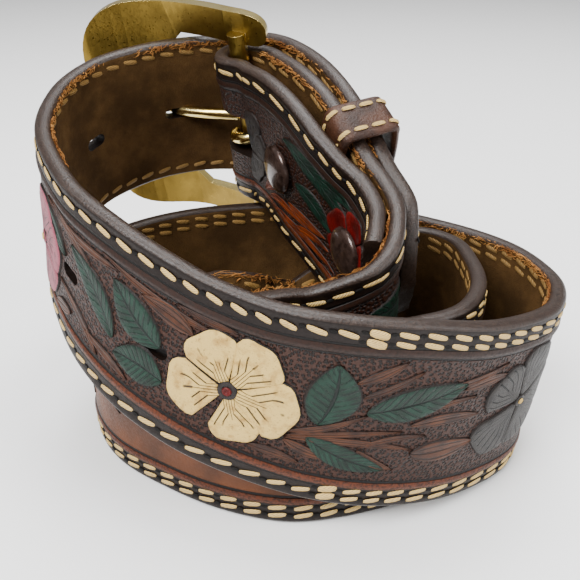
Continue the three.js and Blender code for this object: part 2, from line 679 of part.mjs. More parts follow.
// The origin is the middle of the base.
const bounds = new THREE.Box3().setFromObject(model);
const middle = bounds.getCenter(new THREE.Vector3());
for (const piece of model.children) {
  piece.geometry.translate(-middle.x, -middle.y, -bounds.min.z);
}

export default model;
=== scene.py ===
"""Dressed model of the western tooled belt: leather, tooling, stitches, buckle and studio."""

import logging
import math
from dataclasses import dataclass, field
from enum import Enum
from typing import Callable, NamedTuple, Sequence, Union

import bmesh
import bpy
import numpy as np
from mathutils import Matrix, Vector


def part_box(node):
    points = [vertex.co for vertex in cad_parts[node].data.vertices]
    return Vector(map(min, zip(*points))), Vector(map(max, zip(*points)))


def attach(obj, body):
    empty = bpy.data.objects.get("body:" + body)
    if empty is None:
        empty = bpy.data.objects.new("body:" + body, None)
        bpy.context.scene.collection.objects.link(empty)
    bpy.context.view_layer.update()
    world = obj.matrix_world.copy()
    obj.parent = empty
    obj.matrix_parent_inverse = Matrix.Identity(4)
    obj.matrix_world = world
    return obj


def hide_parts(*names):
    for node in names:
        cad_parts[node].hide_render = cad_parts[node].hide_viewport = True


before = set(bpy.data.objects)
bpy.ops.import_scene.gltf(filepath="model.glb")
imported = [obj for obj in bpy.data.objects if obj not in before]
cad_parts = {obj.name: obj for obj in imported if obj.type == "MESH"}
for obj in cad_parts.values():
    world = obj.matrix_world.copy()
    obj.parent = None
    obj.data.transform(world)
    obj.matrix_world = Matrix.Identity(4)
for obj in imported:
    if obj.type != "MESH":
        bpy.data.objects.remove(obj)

LOG = logging.getLogger("belt")
MM = 0.001
IMAGE_SIDE = 580

Material = bpy.types.Material
Piece = bpy.types.Object
Socket = bpy.types.NodeSocket
Value = Union[Socket, float]
Slots = Union[int, Callable[[int, int], int]]


@dataclass(frozen=True)
class BeltSizes:
    """Sizes of the belt in millimetres, the same as the solids'."""

    strap_width: float = 44.45
    end_width: float = 38.1
    leather: float = 3.4
    edge_bevel: float = 0.9
    layer_gap: float = 0.6
    fold_back: float = 66.0
    tip_overlap: float = 63.0
    tip_round: float = 13.0
    tip_sag: float = 3.5
    coil_half_width: float = 54.0
    coil_half_depth: float = 40.0
    buckle_lift: float = 3.6
    bar_radius: float = 2.2
    fit: float = 0.4
    buckle_plate: float = 2.6
    hole_length: float = 6.2
    hole_width: float = 2.8
    hole_spacing: float = 25.4
    holes_behind_tongue: int = 4
    slot_length: float = 9.0
    slot_width: float = 10.5
    tongue_hole_reach: float = 21.0

    @property
    def bend_radius(self) -> float:
        """Radius of the fold's middle round the heel bar."""
        return self.bar_radius + self.fit + self.leather / 2

    @property
    def bend_run(self) -> float:
        """Length of strap in the fold."""
        return math.pi * self.bend_radius

    @property
    def layer_pitch(self) -> float:
        """Distance between the middles of leathers that lie on each other."""
        return self.leather + self.layer_gap


SIZES = BeltSizes()
ROW_DIVISIONS = 40
TIP_STATIONS = 6
NARROWEST_TIP = 0.3
MATCH_SAMPLES = 1200
BUCKLE_AIM_ROW = 46.6
HOLE_SEARCH_ROW = 46
HOLE_SEARCH_STEP = 0.1
HEEL_BAR = np.array([0.0])


class Row(NamedTuple):
    """One row of the strap's route, in shares of the coil's half width, half depth and height."""

    across: float
    depth: float
    rise: float
    lean: float
    full: float


ROUTE = (
    Row(-0.13, 0.93, 1.0, -14, 0), Row(-0.02, 0.78, 0.98, -12, 0), Row(0.1, 0.48, 0.91, -7, 0),
    Row(0.255, 0.11, 0.7, -5, 0), Row(0.37, -0.22, 0.54, -3, 0), Row(0.36, -0.49, 0.42, 0, 0.06),
    Row(0.21, -0.63, 0.27, 1, 0.4), Row(-0.02, -0.63, 0.13, 0, 0.8),
    Row(-0.22, -0.57, 0.045, 1, 1), Row(-0.345, -0.42, 0.006, 4, 1), Row(-0.29, -0.24, 0, 16, 1),
    Row(-0.09, -0.18, 0, 34, 1), Row(0.14, -0.06, 0, 44, 1), Row(0.34, 0.19, 0, 34, 1),
    Row(0.53, 0.38, 0, 13, 1), Row(0.7, 0.31, 0, 2, 1), Row(0.75, 0.03, 0, 1, 1),
    Row(0.73, -0.29, 0, 1, 1), Row(0.63, -0.56, 0, -1, 1), Row(0.43, -0.7, 0, -2, 1),
    Row(0.19, -0.8, 0, -3, 1), Row(-0.02, -0.84, 0, -2, 1), Row(-0.26, -0.77, 0, 0, 1),
    Row(-0.48, -0.61, 0, 0, 1), Row(-0.69, -0.4, 0, 0, 1), Row(-0.815, -0.15, 0, 0, 1),
    Row(-0.86, 0.12, 0, 0, 1), Row(-0.79, 0.4, 0, 0, 1), Row(-0.58, 0.66, 0, 0, 1),
    Row(-0.28, 0.82, 0, 0, 1), Row(0.1, 0.87, 0, 0, 1), Row(0.47, 0.76, 0, -3, 1),
    Row(0.76, 0.53, 0, -4, 1), Row(0.94, 0.26, 0, -2, 1), Row(1.0, -0.01, 0, 3, 1),
    Row(1.0, -0.27, 0, 7, 1), Row(0.9, -0.53, 0.01, 8, 1), Row(0.65, -0.79, 0.06, 7, 1),
    Row(0.37, -0.95, 0.14, 5, 1), Row(0.1, -1.0, 0.225, 3, 0.75),
    Row(-0.15, -0.95, 0.322, -2, 0.25),
    Row(-0.4, -0.83, 0.43, -6, 0), Row(-0.64, -0.62, 0.542, -6, 0), Row(-0.84, -0.32, 0.648, -3, 0),
    Row(-0.97, 0.06, 0.76, -3, 0), Row(-0.98, 0.48, 0.85, -5, 0), Row(-0.88, 0.82, 0.92, -8, 0),
    Row(-0.69, 1.04, 0.97, -12, 0), Row(-0.47, 1.14, 1.0, -14, 0), Row(-0.25, 1.14, 1.01, -14, 0),
)


class Layer(NamedTuple):
    """How far the folded end and the tip stand off the strap between them, along the overlap."""

    run: float
    fold: float
    tip: float


LAYERS = (
    Layer(0, 1, 1), Layer(0.15, 1, 0.9), Layer(0.48, 0.72, 0.45),
    Layer(0.7, 0.1, 0.12), Layer(1, 0, 0),
)


class Side(Enum):
    """Faces of the strap."""

    GRAIN = 1
    FLESH = -1


def unit(vectors: np.ndarray) -> np.ndarray:
    """Scale each row to length one."""
    return vectors / np.linalg.norm(vectors, axis=-1, keepdims=True)


def running_length(places: np.ndarray) -> np.ndarray:
    """Length from the first of some places to each of them."""
    return np.concatenate([[0], np.cumsum(np.linalg.norm(np.diff(places, axis=0), axis=1))])


class Spline:
    """Smooth curve through rows of numbers, one row per whole step."""

    def __init__(self, rows: np.ndarray) -> None:
        """Keep the rows, with one more past each end for the slopes there.

        Args:
            rows: one row of numbers for each whole step.
        """
        rows = np.asarray(rows, float)
        self.count = len(rows)
        self.padded = np.vstack([2 * rows[0] - rows[1], rows, 2 * rows[-1] - rows[-2]])

    def at(self, steps: np.ndarray) -> tuple[np.ndarray, np.ndarray]:
        """Read the curve.

        Args:
            steps: steps along the rows, whole or not.

        Returns:
            The values and the slopes, a row for each step.
        """
        steps = np.clip(np.atleast_1d(steps).astype(float), 0, self.count - 1)
        index = np.minimum(np.floor(steps).astype(int), self.count - 2)
        w = (steps - index)[:, None]
        p0, p1, p2, p3 = (self.padded[index + k] for k in range(4))
        m1, m2 = (p2 - p0) / 2, (p3 - p1) / 2
        a, b = 2 * p1 - 2 * p2 + m1 + m2, -3 * p1 + 3 * p2 - 2 * m1 - m2
        return a * w**3 + b * w**2 + m1 * w + p1, 3 * a * w**2 + 2 * b * w + m1


class Frames(NamedTuple):
    """Middles, travel, upward and outward directions and widths along a strap."""

    middle: np.ndarray
    travel: np.ndarray
    up: np.ndarray
    out: np.ndarray
    width: np.ndarray


class StrapLine:
    """Centre line of a strap through stations."""

    def __init__(self, middles: np.ndarray, ups: np.ndarray, widths: Sequence[float]) -> None:
        """Measure the line through its stations.

        Args:
            middles: middle of the strap at each station, in millimetres.
            ups: upward direction at each station.
            widths: width of the strap at each station.
        """
        self.middle, self.up = Spline(middles), Spline(ups)
        self.width = Spline(np.asarray(widths)[:, None])
        rows = len(middles) - 1
        self.steps = np.linspace(0, rows, rows * ROW_DIVISIONS + 1)
        self.runs = running_length(self.middle.at(self.steps)[0])

    def frames(self, steps: np.ndarray) -> Frames:
        """Read the line at row numbers.

        Args:
            steps: row numbers, whole or not.

        Returns:
            The frames there.
        """
        middle, slope = self.middle.at(steps)
        travel = unit(slope)
        up = self.up.at(steps)[0]
        up = unit(up - (up * travel).sum(1, keepdims=True) * travel)
        width = np.clip(self.width.at(steps)[0][:, 0], SIZES.end_width, SIZES.strap_width)
        return Frames(middle, travel, up, unit(np.cross(up, travel)), width)

    def at_run(self, run: np.ndarray) -> Frames:
        """Frames at lengths from the heel bar."""
        return self.frames(np.interp(run, self.runs, self.steps))


def stand_off(run: np.ndarray, total: float, column: str, far: float) -> np.ndarray:
    """Distance of the folded end or the tip from the strap, along the overlap.

    Args:
        run: lengths from the heel bar.
        total: length of the overlap.
        column: column of LAYERS, fold or tip.
        far: distance at the heel bar.

    Returns:
        Distances between the middles of the two leathers.
    """
    shares = np.interp(np.asarray(run) / total, [l.run for l in LAYERS],
                       [getattr(l, column) for l in LAYERS])
    return SIZES.layer_pitch + (far - SIZES.layer_pitch) * shares


class BeltPath:
    """The whole strap as a surface: u runs along it, v across it and h off its face.

    u is zero at the heel bar, positive round the coil to the tip, and negative round the fold
    and along the folded end. v is zero in the middle and grows upward.
    """

    def __init__(self) -> None:
        """Lay the route, then the tip over its start, and match the place of the solid."""
        route = self._route_line()
        middles, ups, widths = (list(column) for column in route)
        start = StrapLine(*route)
        for share in np.linspace(0, 1, TIP_STATIONS + 1):
            run = share * SIZES.tip_overlap
            at = start.at_run(run)
            sag = SIZES.tip_sag * share * share
            middles.append((at.middle + at.out * self.tip_off(run) - at.up * sag)[0])
            ups.append(at.up[0])
            widths.append(SIZES.end_width)
        self.line = StrapLine(np.array(middles), np.array(ups), widths)
        self.bar = self.line.frames(HEEL_BAR)
        self.bar_centre = (self.bar.middle - self.bar.out * SIZES.bend_radius)[0]
        self.first = -SIZES.bend_run - SIZES.fold_back
        self.last = self.line.runs[-1]
        self.shift = np.zeros(3)
        self._match_solid()

    @staticmethod
    def tip_off(run: float) -> np.ndarray:
        """Distance of the tip from the strap at a length from the heel bar."""
        return stand_off(run, SIZES.tip_overlap, "tip", SIZES.layer_pitch + SIZES.buckle_plate)

    @staticmethod
    def fold_off(run: np.ndarray) -> np.ndarray:
        """Distance of the folded end from the strap at lengths from the heel bar."""
        return stand_off(run, SIZES.fold_back, "fold", 2 * SIZES.bend_radius)

    @staticmethod
    def _route_line() -> tuple[np.ndarray, np.ndarray, np.ndarray]:
        """Turn the route's shares into millimetres.

        Returns:
            Middles, upward directions and widths, a row for each row of the route.
        """
        rows = np.array(ROUTE, float)
        plan = np.c_[rows[:, 0] * SIZES.coil_half_width, rows[:, 1] * SIZES.coil_half_depth]
        heading = unit(Spline(plan).at(np.arange(len(plan)))[1])
        out = np.c_[-heading[:, 1], heading[:, 0], np.zeros(len(plan))]
        lean = np.radians(rows[:, 3])
        width = SIZES.end_width + (SIZES.strap_width - SIZES.end_width) * rows[:, 4]
        up = np.c_[np.zeros((len(plan), 2)), np.cos(lean)] + out * np.sin(lean)[:, None]
        footing = (SIZES.leather / 2 - SIZES.edge_bevel) * np.sin(abs(lean))
        rise = rows[:, 2] * (SIZES.strap_width + SIZES.buckle_lift)
        return np.c_[plan, rise + width / 2 * np.cos(lean) + footing], up, width

    def _match_solid(self) -> None:
        """Shift the path sideways to where the strap's solid stands."""
        at = self.frames(np.linspace(self.first, self.last, MATCH_SAMPLES))
        points = np.vstack([at.middle + at.up * (s * at.width[:, None] / 2) for s in (-1, 1)])
        low, high = (np.array(c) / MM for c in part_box("strap"))
        self.shift = (low + high) / 2 - (points.min(0) + points.max(0)) / 2
        self.shift[2] = 0.0
        LOG.info("path: %.0f mm of strap, shifted by %s", self.last - self.first,
                 self.shift.round(2))

    def frames(self, u: np.ndarray) -> Frames:
        """Read the whole strap, fold and tip too.

        Args:
            u: lengths from the heel bar, negative round the fold.

        Returns:
            The frames there, with outward on the grain side.
        """
        u = np.atleast_1d(np.asarray(u, float))
        at = self.line.at_run(np.maximum(u, 0))
        fold = u < -SIZES.bend_run
        bend = (u < 0) & ~fold
        if fold.any():
            run = -u[fold] - SIZES.bend_run
            beside = self.line.at_run(run)
            at.middle[fold] = beside.middle - beside.out * self.fold_off(run)[:, None]
            at.travel[fold], at.up[fold] = -beside.travel, beside.up
            at.out[fold] = -beside.out
        if bend.any():
            angle = ((u[bend] + SIZES.bend_run) / SIZES.bend_radius)[:, None]
            out = -self.bar.out * np.cos(angle) - self.bar.travel * np.sin(angle)
            at.middle[bend] = self.bar_centre + out * SIZES.bend_radius
            at.out[bend], at.up[bend] = out, self.bar.up
            at.travel[bend] = self.bar.out * np.sin(angle) - self.bar.travel * np.cos(angle)
        at.middle[:] += self.shift
        return at

    def half_width(self, u: np.ndarray) -> np.ndarray:
        """Half of the strap's width, with its rounded tip.

        Args:
            u: lengths from the heel bar.

        Returns:
            Half the width at each of them.
        """
        left = np.clip((self.last - np.asarray(u)) / SIZES.tip_round, 0, 1)
        round_off = np.maximum(np.sqrt(np.clip(1 - (1 - left) ** 2, 0, 1)), NARROWEST_TIP)
        return self.frames(u).width / 2 * round_off

    def points(self, u: np.ndarray, v: np.ndarray, h: np.ndarray,
               side: Side = Side.GRAIN) -> np.ndarray:
        """Places over a face of the strap.

        Args:
            u: lengths from the heel bar.
            v: distances from the middle, upward.
            h: heights off the face.
            side: the face.

        Returns:
            The places in metres, a row each.
        """
        u, v, h = np.broadcast_arrays(np.atleast_1d(u), v, h)
        at = self.frames(u)
        lift = (SIZES.leather / 2 + h)[:, None] * side.value
        return (at.middle + at.up * v[:, None] + at.out * lift) * MM

    def buckle_axes(self) -> tuple[np.ndarray, np.ndarray, np.ndarray]:
        """Directions of the buckle.

        Returns:
            Along the buckle, up the heel bar, and away from the coil.
        """
        up = self.bar.up[0]
        toward = self.line.frames(np.array([BUCKLE_AIM_ROW])).middle[0] - self.bar_centre
        along = unit(toward - (toward @ up) * up)
        return along, up, np.cross(along, up)

    def hole_runs(self) -> list[float]:
        """Find the adjusting holes.

        Returns:
            Their lengths from the heel bar, the prong's first.
        """
        bar = self.frames(HEEL_BAR)
        centre = bar.middle[0] - bar.out[0] * SIZES.bend_radius
        start, end = self.line.runs[[HOLE_SEARCH_ROW * ROW_DIVISIONS,
                                     (len(ROUTE) - 1) * ROW_DIVISIONS]]
        u = np.arange(start, end, HOLE_SEARCH_STEP)
        reach = (self.frames(u).middle - centre) @ self.buckle_axes()[0]
        first = u[np.argmin(abs(reach - SIZES.tongue_hole_reach))]
        return [first - k * SIZES.hole_spacing for k in range(SIZES.holes_behind_tongue + 1)]


def srgb(code: str) -> tuple[float, float, float, float]:
    """Linear colour from an sRGB hex code.

    Args:
        code: six hex digits.

    Returns:
        Red, green, blue and alpha.
    """
    parts = [int(code[i:i + 2], 16) / 255 for i in (0, 2, 4)]
    linear = [p / 12.92 if p <= 0.04045 else ((p + 0.055) / 1.055) ** 2.4 for p in parts]
    return (*linear, 1.0)


# Waxed and dyed leather mirrors less than bare plastic, which keeps its darks deep.
DULL_SPECULAR = 0.25


class Paint:
    """A material under construction, with short ways to add and join its nodes."""

    def __init__(self, name: str) -> None:
        """Start a material.

        Args:
            name: the material's name.
        """
        self.material = bpy.data.materials.new(name)
        self.material.use_nodes = True
        self.tree = self.material.node_tree
        self.shader = self.tree.nodes["Principled BSDF"]

    def add(self, kind: str, inputs: dict, **settings: object) -> bpy.types.Node:
        """Add one node.

        Args:
            kind: the node's type.
            inputs: a value or a socket for each input.
            **settings: the node's properties.

        Returns:
            The node.
        """
        made = self.tree.nodes.new(kind)
        for key, value in settings.items():
            setattr(made, key, value)
        for key, value in inputs.items():
            socket = made.inputs[key]
            if isinstance(value, Socket):
                self.tree.links.new(value, socket)
            else:
                socket.default_value = value
        return made

    def math(self, operation: str, a: Value, b: Value = 0.0, clamp: bool = False) -> Socket:
        """Arithmetic on one or two values.

        Args:
            operation: the name of the operation.
            a: the first value.
            b: the second value.
            clamp: whether the result stays between zero and one.

        Returns:
            The result.
        """
        return self.add("ShaderNodeMath", {0: a, 1: b}, operation=operation,
                        use_clamp=clamp).outputs[0]

    def plus(self, a: Value, b: Value) -> Socket:
        """Sum of two values."""
        return self.math("ADD", a, b)

    def minus(self, a: Value, b: Value) -> Socket:
        """Difference of two values."""
        return self.math("SUBTRACT", a, b)

    def times(self, a: Value, b: Value) -> Socket:
        """Product of two values."""
        return self.math("MULTIPLY", a, b)

    def uv(self, layer: str = "belt") -> tuple[Socket, Socket, Socket]:
        """Two coordinates of a UV layer.

        Args:
            layer: its name.

        Returns:
            Both coordinates and the vector.
        """
        made = self.add("ShaderNodeUVMap", {}, uv_map=layer).outputs[0]
        split = self.add("ShaderNodeSeparateXYZ", {0: made})
        return split.outputs[0], split.outputs[1], made

    def noise(self, size: float, detail: float = 3, rough: float = 0.55) -> Socket:
        """Noise in the object's own coordinates.

        Args:
            size: about the size of a spot, in millimetres.
            detail: how many finer layers lie over it.
            rough: how strong the finer layers are.

        Returns:
            Values about a half.
        """
        place = self.add("ShaderNodeTexCoord", {}).outputs["Object"]
        scaled = self.add("ShaderNodeVectorMath", {0: place, "Scale": 1 / (size * MM)},
                          operation="SCALE").outputs[0]
        return self.add("ShaderNodeTexNoise", {
            "Vector": scaled, "Scale": 1.0, "Detail": detail, "Roughness": rough}).outputs["Fac"]

    def step(self, value: Socket, low: float, high: float, start: float = 0.0,
             end: float = 1.0) -> Socket:
        """Smooth step of a value between two limits.

        Args:
            value: the value.
            low: where the step starts.
            high: where it ends.
            start: result below the step.
            end: result above it.

        Returns:
            The result.
        """
        return self.add("ShaderNodeMapRange", {
            "Value": value, "From Min": low, "From Max": high, "To Min": start, "To Max": end},
            interpolation_type="SMOOTHSTEP").outputs[0]

    def band(self, value: Socket, middle: float, half: float, soft: float) -> Socket:
        """One near a middle value, falling to zero past a half width.

        Args:
            value: the value.
            middle: the middle of the band.
            half: half its width.
            soft: width of the fall on each side.

        Returns:
            The share.
        """
        away = self.math("ABSOLUTE", self.minus(value, middle))
        return self.step(away, half, half + soft, 1.0, 0.0)

    def mix(self, share: Value, a: Union[str, Socket], b: Union[str, Socket]) -> Socket:
        """Mix of two colours, each a hex code or a socket.

        Args:
            share: how much of the second.
            a: the first colour.
            b: the second colour.

        Returns:
            The mixed colour.
        """
        sockets = [srgb(c) if isinstance(c, str) else c for c in (a, b)]
        return self.add("ShaderNodeMix", {0: share, 6: sockets[0], 7: sockets[1]},
                        data_type="RGBA").outputs[2]

    def blotches(self, size: float, low: float, high: float, a: str, b: str,
                 detail: float = 3, rough: float = 0.55) -> Socket:
        """Two colours in blotches.

        Args:
            size: about the size of a blotch, in millimetres.
            low: noise value where the first colour ends.
            high: noise value where the second starts.
            a: the first colour.
            b: the second colour.
            detail: how many finer layers the noise has.
            rough: how strong they are.

        Returns:
            The colour.
        """
        return self.mix(self.step(self.noise(size, detail, rough), low, high), a, b)

    def finish(self, colour: Union[str, Socket], rough: Value, height: Socket, depth: float,
               **sockets: float) -> Material:
        """Join everything to the shader.

        Args:
            colour: hex code or socket.
            rough: roughness.
            height: relief, about one at its highest.
            depth: depth of the relief in millimetres.
            **sockets: other inputs of the shader, with underscores for spaces.

        Returns:
            The material.
        """
        sockets.setdefault("Specular_IOR_Level", DULL_SPECULAR)
        values = {key.replace("_", " "): value for key, value in sockets.items()}
        values |= {"Base Color": srgb(colour) if isinstance(colour, str) else colour,
                   "Roughness": rough}
        for key, value in values.items():
            if isinstance(value, Socket):
                self.tree.links.new(value, self.shader.inputs[key])
            else:
                self.shader.inputs[key].default_value = value
        bump = self.add("ShaderNodeBump", {"Height": height, "Distance": depth * MM,
                                           "Strength": 1.0})
        self.tree.links.new(bump.outputs[0], self.shader.inputs["Normal"])
        return self.material


@dataclass(frozen=True)
class TooledGrain:
    """Carved leather face. The pitted field looks dark and matt, the ridges burnished brown."""

    # Colour of painted shade at the bottoms of the matting's dents.
    field_pit_shade: str = "080403"
    field_light: str = "351a0e"
    band: str = "170c07"
    band_dark: str = "0c0503"
    ridge_top: str = "27150d"
    ridge_low: str = "53260f"
    panel: str = "5f3418"
    panel_dark: str = "3a2010"
    groove: str = "050302"
    pore_size: float = 0.5
    cloud_size: float = 9.0
    pits_per_mm: float = 1.15
    band_inset: float = 5.1
    field_inset: float = 7.2
    soft: float = 0.2
    panel_start: tuple[float, float] = (250.0, 262.0)
    panel_end: tuple[float, float] = (418.0, 432.0)

    def paint(self) -> Material:
        """Lay the zones by their distance from the strap's edge.

        Returns:
            The material.
        """
        p = Paint("leather_grain")
        u, v, flat = p.uv()
        inset = p.uv("edge")[0]
        pores, broad = p.noise(self.pore_size, 2), p.noise(self.cloud_size, 3)
        cells = p.add("ShaderNodeTexVoronoi", {"Vector": flat, "Scale": self.pits_per_mm,
                                               "Randomness": 0.8},
                      voronoi_dimensions="2D").outputs["Distance"]
        pits = p.step(cells, 0.12, 0.5)
        # The dents of the matted field take the darker colour at their bottoms: painted shade.
        field_colour = p.mix(pits, self.field_pit_shade, self.field_light)
        field_colour = p.mix(p.times(broad, 0.5), field_colour, self.band)
        ridge = p.mix(p.step(v, -2, 2, 1.0, 0.0), self.ridge_top, self.ridge_low)
        ridge = p.mix(p.step(pores, 0.35, 0.75), ridge, self.band)
        panel_share = p.times(p.step(u, *self.panel_start), p.step(u, *self.panel_end, 1.0, 0.0))
        panel = p.mix(p.step(broad, 0.25, 0.8), self.panel, self.panel_dark)
        band = p.mix(pores, self.band, self.band_dark)
        colour = p.mix(panel_share, field_colour, panel)
        for zone, start in ((ridge, self.field_inset), (band, self.band_inset)):
            colour = p.mix(p.step(inset, start - self.soft, start + self.soft), zone, colour)
        grooves = p.math("MAXIMUM", p.band(inset, self.field_inset - 0.05, 0.12, 0.25),
                         p.band(inset, self.band_inset - 0.15, 0.1, 0.2))
        colour = p.mix(grooves, colour, self.groove)
        in_field = p.step(inset, self.field_inset, self.field_inset + 2 * self.soft)
        pit_height = p.times(p.times(pits, in_field), p.minus(1.0, panel_share))
        height = p.minus(p.plus(p.times(pores, 0.22), pit_height), p.times(grooves, 0.8))
        return p.finish(colour, p.step(pores, 0.3, 0.7, 0.42, 0.58), height, 0.4)


@dataclass(frozen=True)
class Suede:
    """Raw brown back of the leather. Its nap has no shine, so the inside stays soft and dull."""

    light: str = "63492b"
    dark: str = "42301c"
    streak: str = "2a190a"
    shadow: str = "160c04"
    nap_size: float = 0.35
    cloud_size: float = 11.0
    streak_size: float = 2.2

    def paint(self) -> Material:
        """Mix the stains of wear under the nap.

        Returns:
            The material.
        """
        p = Paint("leather_flesh")
        nap = p.noise(self.nap_size, 2, 0.6)
        colour = p.blotches(self.cloud_size, 0.35, 0.68, self.dark, self.light, 4, 0.6)
        colour = p.mix(p.times(p.noise(self.streak_size), 0.5), colour, self.streak)
        colour = p.mix(p.times(nap, 0.35), colour, self.shadow)
        return p.finish(colour, 0.92, nap, 0.22, Specular_IOR_Level=0.05)


@dataclass(frozen=True)
class RubbedEdge:
    """Dark edge paint rubbed smooth. It shines in a thin line along every rim."""

    dark: str = "150d09"
    # Lighter specks: partly worn edge paint, partly painted highlights.
    light: str = "34261e"
    worn: str = "21150f"
    grit_size: float = 0.4
    wear_size: float = 3.5

    def paint(self) -> Material:
        """Mix fine grit, its lighter specks partly worn paint and partly painted highlights, with
        worn stretches.

        Returns:
            The material.
        """
        p = Paint("leather_edge")
        grit = p.noise(self.grit_size, 3, 0.6)
        # The grit's lighter specks are partly worn paint and partly painted highlights.
        colour = p.mix(p.step(grit, 0.3, 0.7), self.dark, self.light)
        colour = p.mix(p.step(p.noise(self.wear_size), 0.5, 0.72), colour, self.worn)
        return p.finish(colour, p.step(grit, 0.3, 0.7, 0.3, 0.48), grit, 0.12,
                        Specular_IOR_Level=0.4)


@dataclass(frozen=True)
class WaxedThread:
    """Twisted waxed thread. The slanted turns of its strands break up the light."""

    name: str
    light: str
    # Colour of the painted shade between the strands and of the soiled spots.
    dark: str
    turns: float = 9.0
    turn_slant: float = 1.5

    def paint(self) -> Material:
        """Mix painted shade into the gaps between the strands, and soiled spots.

        Returns:
            The material.
        """
        p = Paint(self.name)
        u, v, _ = p.uv()
        twist = p.math("SINE", p.times(p.plus(u, p.times(v, self.turn_slant)), self.turns))
        # The gaps between the twisted strands are darkened: painted shade.
        strand_gap_shade = p.times(p.step(twist, -1, 0.2, 1.0, 0.0), 0.35)
        soiled = p.step(p.noise(1.1, 2), 0.55, 0.85, 0.0, 0.35)
        colour = p.mix(p.math("ADD", strand_gap_shade, soiled, True), self.light, self.dark)
        return p.finish(colour, 0.55, twist, 0.06)


@dataclass(frozen=True)
class DyedLeaf:
    """Green dye over carved leather. The cut rib and side veins stay dark and lie deeper."""

    light: str = "0d2c20"
    dark: str = "071a10"
    rim: str = "040d08"
    vein: str = "080f0c"
    vein_pace: float = 66.0
    vein_slant: float = 13.0

    def paint(self) -> Material:
        """Cut the rib and the slanted veins.

        Returns:
            The material.
        """
        p = Paint("tooled_leaf")
        along, side, _ = p.uv("motif")
        away = p.math("ABSOLUTE", side)
        slant = p.minus(p.times(along, self.vein_pace), p.times(away, self.vein_slant))
        veins = p.step(p.math("SINE", slant), 0.25, 0.85)
        veins = p.times(veins, p.step(p.noise(2.5, 2), 0.3, 0.55))
        lines = p.math("MAXIMUM", p.step(away, 0.03, 0.09, 1.0, 0.0), p.times(veins, 0.65))
        green = p.blotches(3, 0.35, 0.7, self.light, self.dark)
        green = p.mix(p.step(away, 0.75, 1.0, 0.0, 0.6), green, self.rim)
        height = p.minus(p.times(p.noise(0.45, 2), 0.25), lines)
        return p.finish(p.mix(lines, green, self.vein), 0.5, height, 0.34)


@dataclass(frozen=True)
class DyedPetal:
    """Paint on a carved petal. Short dark cuts from its root make it look folded."""

    name: str
    light: str
    warm: str
    cut: str
    cuts_per_side: float = 9.5
    cut_reach: float = 0.24

    def paint(self) -> Material:
        """Cut the veins, each as far as the noise lets it.

        Returns:
            The material.
        """
        p = Paint(self.name)
        along, side, _ = p.uv("motif")
        away = p.math("ABSOLUTE", side)
        wave = p.math("ABSOLUTE", p.math("SINE", p.times(side, self.cuts_per_side)))
        reach = p.plus(p.times(p.noise(3.2, 1), 0.8), self.cut_reach)
        inside = p.times(p.step(p.minus(along, reach), -0.03, 0.05, 1.0, 0.0),
                         p.step(along, 0.1, 0.16))
        cuts = p.times(p.step(wave, 0.05, 0.42, 1.0, 0.0), inside)
        paint = p.blotches(2.4, 0.45, 0.75, self.light, self.warm)
        paint = p.mix(p.step(away, 0.8, 1.0, 0.0, 0.35), paint, self.warm)
        specks = p.times(p.step(p.noise(0.55, 1), 0.62, 0.72), 0.3)
        colour = p.mix(specks, p.mix(cuts, paint, self.cut), self.cut)
        return p.finish(colour, 0.5, p.minus(p.times(p.noise(0.4), 0.6), cuts), 0.36)


@dataclass(frozen=True)
class CarvedStem:
    """Burnished stem. Its long cuts catch shadow and make it look like bundled strands."""

    name: str
    light: str
    dark: str
    cut: str = "160904"

    def paint(self) -> Material:
        """Cut lines along the stem.

        Returns:
            The material.
        """
        p = Paint(self.name)
        along, side, _ = p.uv("motif")
        lines = p.times(p.plus(side, p.times(along, 0.25)), 11.0)
        cuts = p.step(p.math("SINE", lines), 0.45, 0.95)
        tone = p.blotches(4, 0.35, 0.7, self.light, self.dark)
        height = p.minus(p.times(p.noise(0.5, 2), 0.2), cuts)
        return p.finish(p.mix(p.times(cuts, 0.8), tone, self.cut), 0.48, height, 0.22)


@dataclass(frozen=True)
class PlainLeather:
    """Leather without carving. Pores and faint stains keep it from looking like plastic."""

    name: str
    light: str
    dark: str
    rough: float = 0.5

    def paint(self) -> Material:
        """Mix pores over stains.

        Returns:
            The material.
        """
        p = Paint(self.name)
        pores = p.noise(0.45)
        colour = p.blotches(5, 0.35, 0.7, self.light, self.dark)
        return p.finish(p.mix(p.times(pores, 0.4), colour, self.dark), self.rough, pores, 0.2)


@dataclass(frozen=True)
class Brass:
    """Brass, yellow in its reflections. Cast brass is grainy and dull, the rubbed rim bright."""

    name: str
    light: str
    dark: str
    rough: float
    grit: float

    def paint(self) -> Material:
        """Mix tarnish and uneven shine.

        Returns:
            The material.
        """
        p = Paint(self.name)
        fine = p.noise(0.5, 3, 0.6)
        colour = p.blotches(7, 0.35, 0.7, self.light, self.dark, 4)
        spread = p.step(fine, 0.3, 0.7, self.rough * 0.8, self.rough * 1.25)
        return p.finish(colour, spread, fine, self.grit, Metallic=1.0, Specular_IOR_Level=0.5)


@dataclass(frozen=True)
class CapEnamel:
    """Worn dark enamel on metal. A soft clear highlight tells it from the leather round it."""

    light: str = "4a3a34"
    dark: str = "241814"

    def paint(self) -> Material:
        """Mix the worn spots.

        Returns:
            The material.
        """
        p = Paint("snap_enamel")
        wear = p.noise(2.0)
        colour = p.mix(p.step(wear, 0.4, 0.75), self.light, self.dark)
        return p.finish(colour, 0.27, wear, 0.03, Metallic=0.55, Coat_Weight=0.4)


